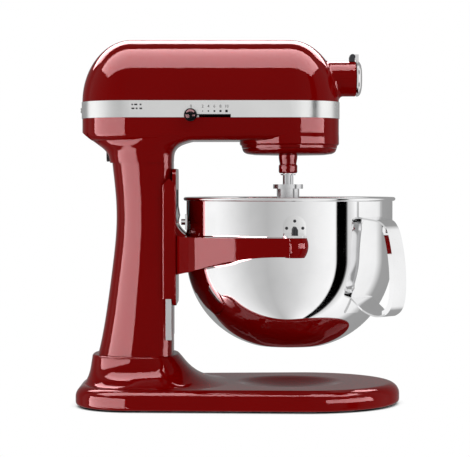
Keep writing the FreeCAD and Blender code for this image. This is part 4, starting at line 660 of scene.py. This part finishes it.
def arc(centre, radius, start, end, steps):
    """(across, up) points along an arc in mm; angles in degrees, ends included."""
    points = []
    for step in range(steps + 1):
        angle = math.radians(start + (end - start) * step / steps)
        points.append((centre[0] + radius * math.cos(angle), centre[1] + radius * math.sin(angle)))
    return points


def upright(radius, start, end, steps):
    """(radius, height) points along a straight wall in mm, ends included."""
    return [(radius, start + (end - start) * step / steps) for step in range(steps + 1)]


# ---------------------------------------------------------------- bowl
class MIXER_OT_bowl(bpy.types.Operator):
    """Turns the polished bowl: round bottom, straight wall and rolled rim"""
    bl_idname = "mixer.bowl"
    bl_label = "Build bowl"

    def execute(self, context):
        low, rim = BOWL_LOW.z / MM, BOWL_HIGH.z / MM
        outside, inside = BOWL_OUTSIDE, BOWL_OUTSIDE - BOWL_WALL
        corner, inner_corner = BOWL_CORNER_RADIUS, BOWL_CORNER_RADIUS - BOWL_WALL
        reach = BOWL_FLAT_RADIUS - (outside - corner)
        shoulder = low + math.sqrt(corner ** 2 - reach ** 2)
        centre = (outside - corner, shoulder)
        bead = (outside + BEAD_RADIUS - BEAD_INSET, rim - BEAD_RADIUS)
        profile = [(POLE_RADIUS, low + BASE_DIMPLE), (DIMPLE_RADIUS, low + BASE_DIMPLE),
                   (FOOT_RING_RADIUS, low)]
        profile += arc(centre, corner, -math.degrees(math.acos(reach / corner)), 0, 40)
        profile += upright(outside, shoulder, rim - OUTER_WALL_TOP, 4)[1:]
        profile += arc(bead, BEAD_RADIUS, BEAD_START, BEAD_END, 14)
        profile += upright(inside, rim - INNER_WALL_TOP, shoulder, 4)
        profile += arc(centre, inner_corner, 0, -math.degrees(math.acos(reach / inner_corner)), 40)[1:]
        profile += [(FOOT_RING_RADIUS, low + BOWL_WALL), (DIMPLE_RADIUS, low + BASE_DIMPLE + BOWL_WALL),
                    (POLE_RADIUS, low + BASE_DIMPLE + BOWL_WALL)]
        bowl = turned_piece("polished_bowl", profile, 224, 40)
        put(bowl, shift=BOWL_CENTRE / MM)
        dress(bowl, material_of("polished_steel"))
        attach(bowl, "bowl_assembly")
        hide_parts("bowl")
        return {"FINISHED"}


class MIXER_OT_pin_brackets(bpy.types.Operator):
    """Presses a half-round plate above each locating pin, its rounded edges painted dark as painted shade"""
    bl_idname = "mixer.pin_brackets"
    bl_label = "Build pin brackets"

    def execute(self, context):
        low, high = (Vector(c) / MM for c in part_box("bowl_side_brackets"))
        half = (high.x - low.x) / 2 + PLATE_MARGIN
        centre = Vector((middle("bowl_side_brackets").x / MM, BLANK_REACH, high.z - half + 2 * PLATE_MARGIN))
        bpy.ops.object.select_all(action="DESELECT")
        bpy.ops.mesh.primitive_circle_add(vertices=96, radius=half * MM, location=(0, 0, 0))
        plate = bpy.context.object
        edit_mesh()
        pick(plate, "verts", lambda at: at.y < -TOUCHING / 10)
        bpy.ops.mesh.delete(type="VERT")
        bpy.ops.mesh.select_all(action="SELECT")
        bpy.ops.mesh.edge_face_add()
        pick(plate, "edges", lambda at: abs(at.y) < TOUCHING / 10)
        drop = low.z + FLANGE_THICKNESS - centre.z
        bpy.ops.mesh.extrude_region_move(TRANSFORM_OT_translate={"value": (0, drop * MM, 0)})
        bpy.ops.mesh.select_all(action="SELECT")
        bpy.ops.mesh.dissolve_limited()
        bpy.ops.mesh.select_all(action="SELECT")
        bpy.ops.mesh.extrude_region_move(TRANSFORM_OT_translate={"value": (0, 0, 2 * BLANK_REACH * MM)})
        tidy_mesh(plate)
        put(plate, UPRIGHT, centre)
        for size, operation in ((BOWL_OUTSIDE + PLATE_THICKNESS, "INTERSECT"),
                                (BOWL_OUTSIDE + PLATE_GAP, "DIFFERENCE")):
            cutter = turned_piece("cutter", [(size, low.z - 5), (size, high.z + 5)], 256)
            put(cutter, shift=BOWL_CENTRE / MM)
            apply_modifier(plate, "BOOLEAN", operation=operation, object=cutter, solver="EXACT")
            bpy.data.objects.remove(cutter)
        apply_modifier(plate, "BEVEL", width=PLATE_ROUNDING * MM, segments=3, limit_method="ANGLE",
                       angle_limit=math.radians(60))
        plate.name = "pin_bracket_plates"
        tidy_mesh(plate, 40)
        dress(plate, material_of("bracket"))
        # The plate's edges take the chrome painted dark: painted shade along its thickness.
        plate.data.materials.append(material_of("dark_chrome"))
        front = (BOWL_OUTSIDE + PLATE_THICKNESS - PLATE_FACE_DEPTH) * MM
        for face in plate.data.polygons:
            if (face.center - BOWL_CENTRE).xy.length < front:
                face.material_index = 1
        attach(plate, "bowl_assembly")
        return {"FINISHED"}


class MIXER_OT_bracket_rivets(bpy.types.Operator):
    """Sets three domed rivets in each pin bracket: one above the pin and one to each side"""
    bl_idname = "mixer.bracket_rivets"
    bl_label = "Build bracket rivets"

    def execute(self, context):
        low, high = (Vector(c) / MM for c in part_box("bowl_side_brackets"))
        pin_x = (middle("locating_pins") - BOWL_CENTRE).x / MM
        half = (high.x - low.x) / 2
        side_z = high.z - half - RIVET_SIDE_DROP
        places = ((0, high.z - RIVET_TOP_DROP), (RIVET_EDGE - half, side_z), (half - RIVET_EDGE, side_z))
        seat = BOWL_OUTSIDE + RIVET_SEAT
        rivet = turned_piece("rivet", RIVET_PROFILE, 24)
        copies = []
        for side in (-1, 1):
            facing = Matrix.Rotation(side * -math.pi / 2, 4, "X")
            for across, up in places:
                swing = math.asin((pin_x + across) / (BOWL_OUTSIDE + RIVET_TILT_SEAT))
                outward = Matrix.Rotation(side * -swing, 4, "Z") @ facing
                spot = (BOWL_CENTRE.x / MM + pin_x + across, side * seat * math.cos(swing), up)
                copies.append(put(copy_of(rivet), outward, spot))
        bpy.data.objects.remove(rivet)
        rivets = join("bracket_rivets", copies)
        # Rivets in chrome painted dark: a painted dark reflection, so they read as dark dots.
        dress(rivets, material_of("dark_chrome"))
        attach(rivets, "bowl_assembly")
        return {"FINISHED"}


# ---------------------------------------------------------------- head
class MIXER_OT_upper_housing(bpy.types.Operator):
    """Raises the domed cover of the head: half a ball drawn out to the head's length, with a thin wall"""
    bl_idname = "mixer.upper_housing"
    bl_label = "Build upper housing"

    def execute(self, context):
        bpy.ops.object.select_all(action="DESELECT")
        bpy.ops.mesh.primitive_uv_sphere_add(segments=128, ring_count=64, radius=HEAD_RADIUS,
                                             location=(0, 0, 0))
        shell = bpy.context.object
        shell.name = "head_cover"
        edit_mesh()
        tall = (HEAD_HIGH.z - BAND_HIGH.z) / HEAD_RADIUS
        pick(shell, "faces", lambda at: at.z < 0)
        bpy.ops.mesh.delete(type="FACE")
        bpy.ops.mesh.select_all(action="SELECT")
        bpy.ops.transform.resize(value=(1, 1, tall), center_override=(0, 0, 0))
        bpy.ops.transform.translate(value=(HEAD_FRONT_X, 0, BAND_HIGH.z))
        pick(shell, "faces", lambda at: at.x < HEAD_FRONT_X)
        bpy.ops.mesh.split()
        bpy.ops.transform.translate(value=(HEAD_REAR_X - HEAD_FRONT_X, 0, 0))
        pick(shell, "edges", lambda at: HEAD_REAR_X - TOUCHING < at.x < HEAD_FRONT_X + TOUCHING)
        bpy.ops.mesh.bridge_edge_loops(number_cuts=24)
        pick(shell, "edges", lambda at: at.z < BAND_HIGH.z + TOUCHING)
        drop = (HEAD_LOW.z - BAND_HIGH.z) / SKIRT_STEPS
        for step in range(SKIRT_STEPS):
            bpy.ops.mesh.extrude_region_move(TRANSFORM_OT_translate={"value": (0, 0, drop)})
        tidy_mesh(shell, 50)
        apply_modifier(shell, "SOLIDIFY", thickness=HEAD_WALL * MM, offset=-1.0, use_even_offset=True)
        tidy_mesh(shell, 50)
        dress(shell, material_of("enamel"))
        paint_group().objects.link(shell)
        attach(shell, "stand")
        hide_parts("upper_housing")
        return {"FINISHED"}


def printed_bars(name, bars):
    """Flat bars on the band's flat side, each (middle x, middle z, width, height) in mm."""
    bpy.ops.object.select_all(action="DESELECT")
    pieces = []
    for across, up, width, tall in bars:
        bpy.ops.mesh.primitive_plane_add(size=MM, location=(0, 0, 0))
        bar = bpy.context.object
        edit_mesh()
        bpy.ops.transform.resize(value=(width, tall, 1), center_override=(0, 0, 0))
        bpy.ops.mesh.bevel(offset=PRINT_CORNER * MM, segments=2, affect="VERTICES")
        bpy.ops.mesh.select_all(action="SELECT")
        bpy.ops.mesh.extrude_region_move(TRANSFORM_OT_translate={"value": (0, 0, PRINT_HEIGHT * MM)})
        bpy.ops.object.mode_set(mode="OBJECT")
        pieces.append(put(bar, UPRIGHT, (across, BAND_LOW.y / MM, up)))
    whole = join(name, pieces)
    tidy_mesh(whole)
    return whole


class MIXER_OT_speed_scale(bpy.types.Operator):
    """Prints the speed numbers, their growing squares and plain bars for the rating on the trim band"""
    bl_idname = "mixer.speed_scale"
    bl_label = "Build speed scale"

    def execute(self, context):
        digits = []
        for label, across in SPEED_STEPS:
            bpy.ops.object.select_all(action="DESELECT")
            bpy.ops.object.text_add(location=(0, 0, 0))
            text = bpy.context.object
            text.data.body = label
            text.data.align_x = "CENTER"
            text.data.align_y = "CENTER"
            text.data.size = DIGIT_SIZE * MM
            text.data.extrude = PRINT_HEIGHT * MM
            text.data.resolution_u = 4
            bpy.ops.object.convert(target="MESH")
            digits.append(put(bpy.context.object, UPRIGHT, (across, BAND_LOW.y / MM, DIGIT_Z)))
        numbers = join("speed_numbers", digits)
        tidy_mesh(numbers)
        squares = []
        for step, (label, across) in enumerate(SPEED_STEPS):
            if step:
                size = SQUARE_LEAST + SQUARE_GROWTH * step
                squares.append((across, SQUARE_Z, size, size))
        marks = printed_bars("speed_marks", squares + [SLOT_LIP])
        bars = [(RATING_X + across, up, width, RATING_HEIGHT)
                for up, row in RATING_ROWS for across, width in row]
        rating = printed_bars("rating_lines", bars)
        for piece in (numbers, marks, rating):
            dress(piece, material_of("print"))
            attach(piece, "stand")
        return {"FINISHED"}


class MIXER_PT_panel(bpy.types.Panel):
    """Lists the builders in the order they run"""
    bl_idname = "MIXER_PT_panel"
    bl_label = "Stand mixer"
    bl_space_type = "VIEW_3D"
    bl_region_type = "UI"
    bl_category = "Mixer"

    def draw(self, context):
        for settings in (context.scene.mixer_studio, context.scene.mixer_finish):
            for name in settings.__annotations__:
                self.layout.prop(settings, name)
        for builder in BUILDERS:
            self.layout.operator(builder.bl_idname)


BUILDERS = (MIXER_OT_stage, MIXER_OT_finish_frame, MIXER_OT_bowl, MIXER_OT_pin_brackets,
            MIXER_OT_bracket_rivets, MIXER_OT_upper_housing, MIXER_OT_speed_scale)
CLASSES = (StudioSettings, FinishSettings, *BUILDERS, MIXER_PT_panel)


def register():
    for cls in CLASSES:
        bpy.utils.register_class(cls)
    bpy.types.Scene.mixer_studio = PointerProperty(type=StudioSettings)
    bpy.types.Scene.mixer_finish = PointerProperty(type=FinishSettings)


def unregister():
    del bpy.types.Scene.mixer_finish
    del bpy.types.Scene.mixer_studio
    for cls in reversed(CLASSES):
        bpy.utils.unregister_class(cls)


def main():
    """Registers the add-on and builds everything in order."""
    register()
    for builder in BUILDERS:
        group, name = builder.bl_idname.split(".")
        getattr(getattr(bpy.ops, group), name)()


if __name__ == "__main__":
    main()
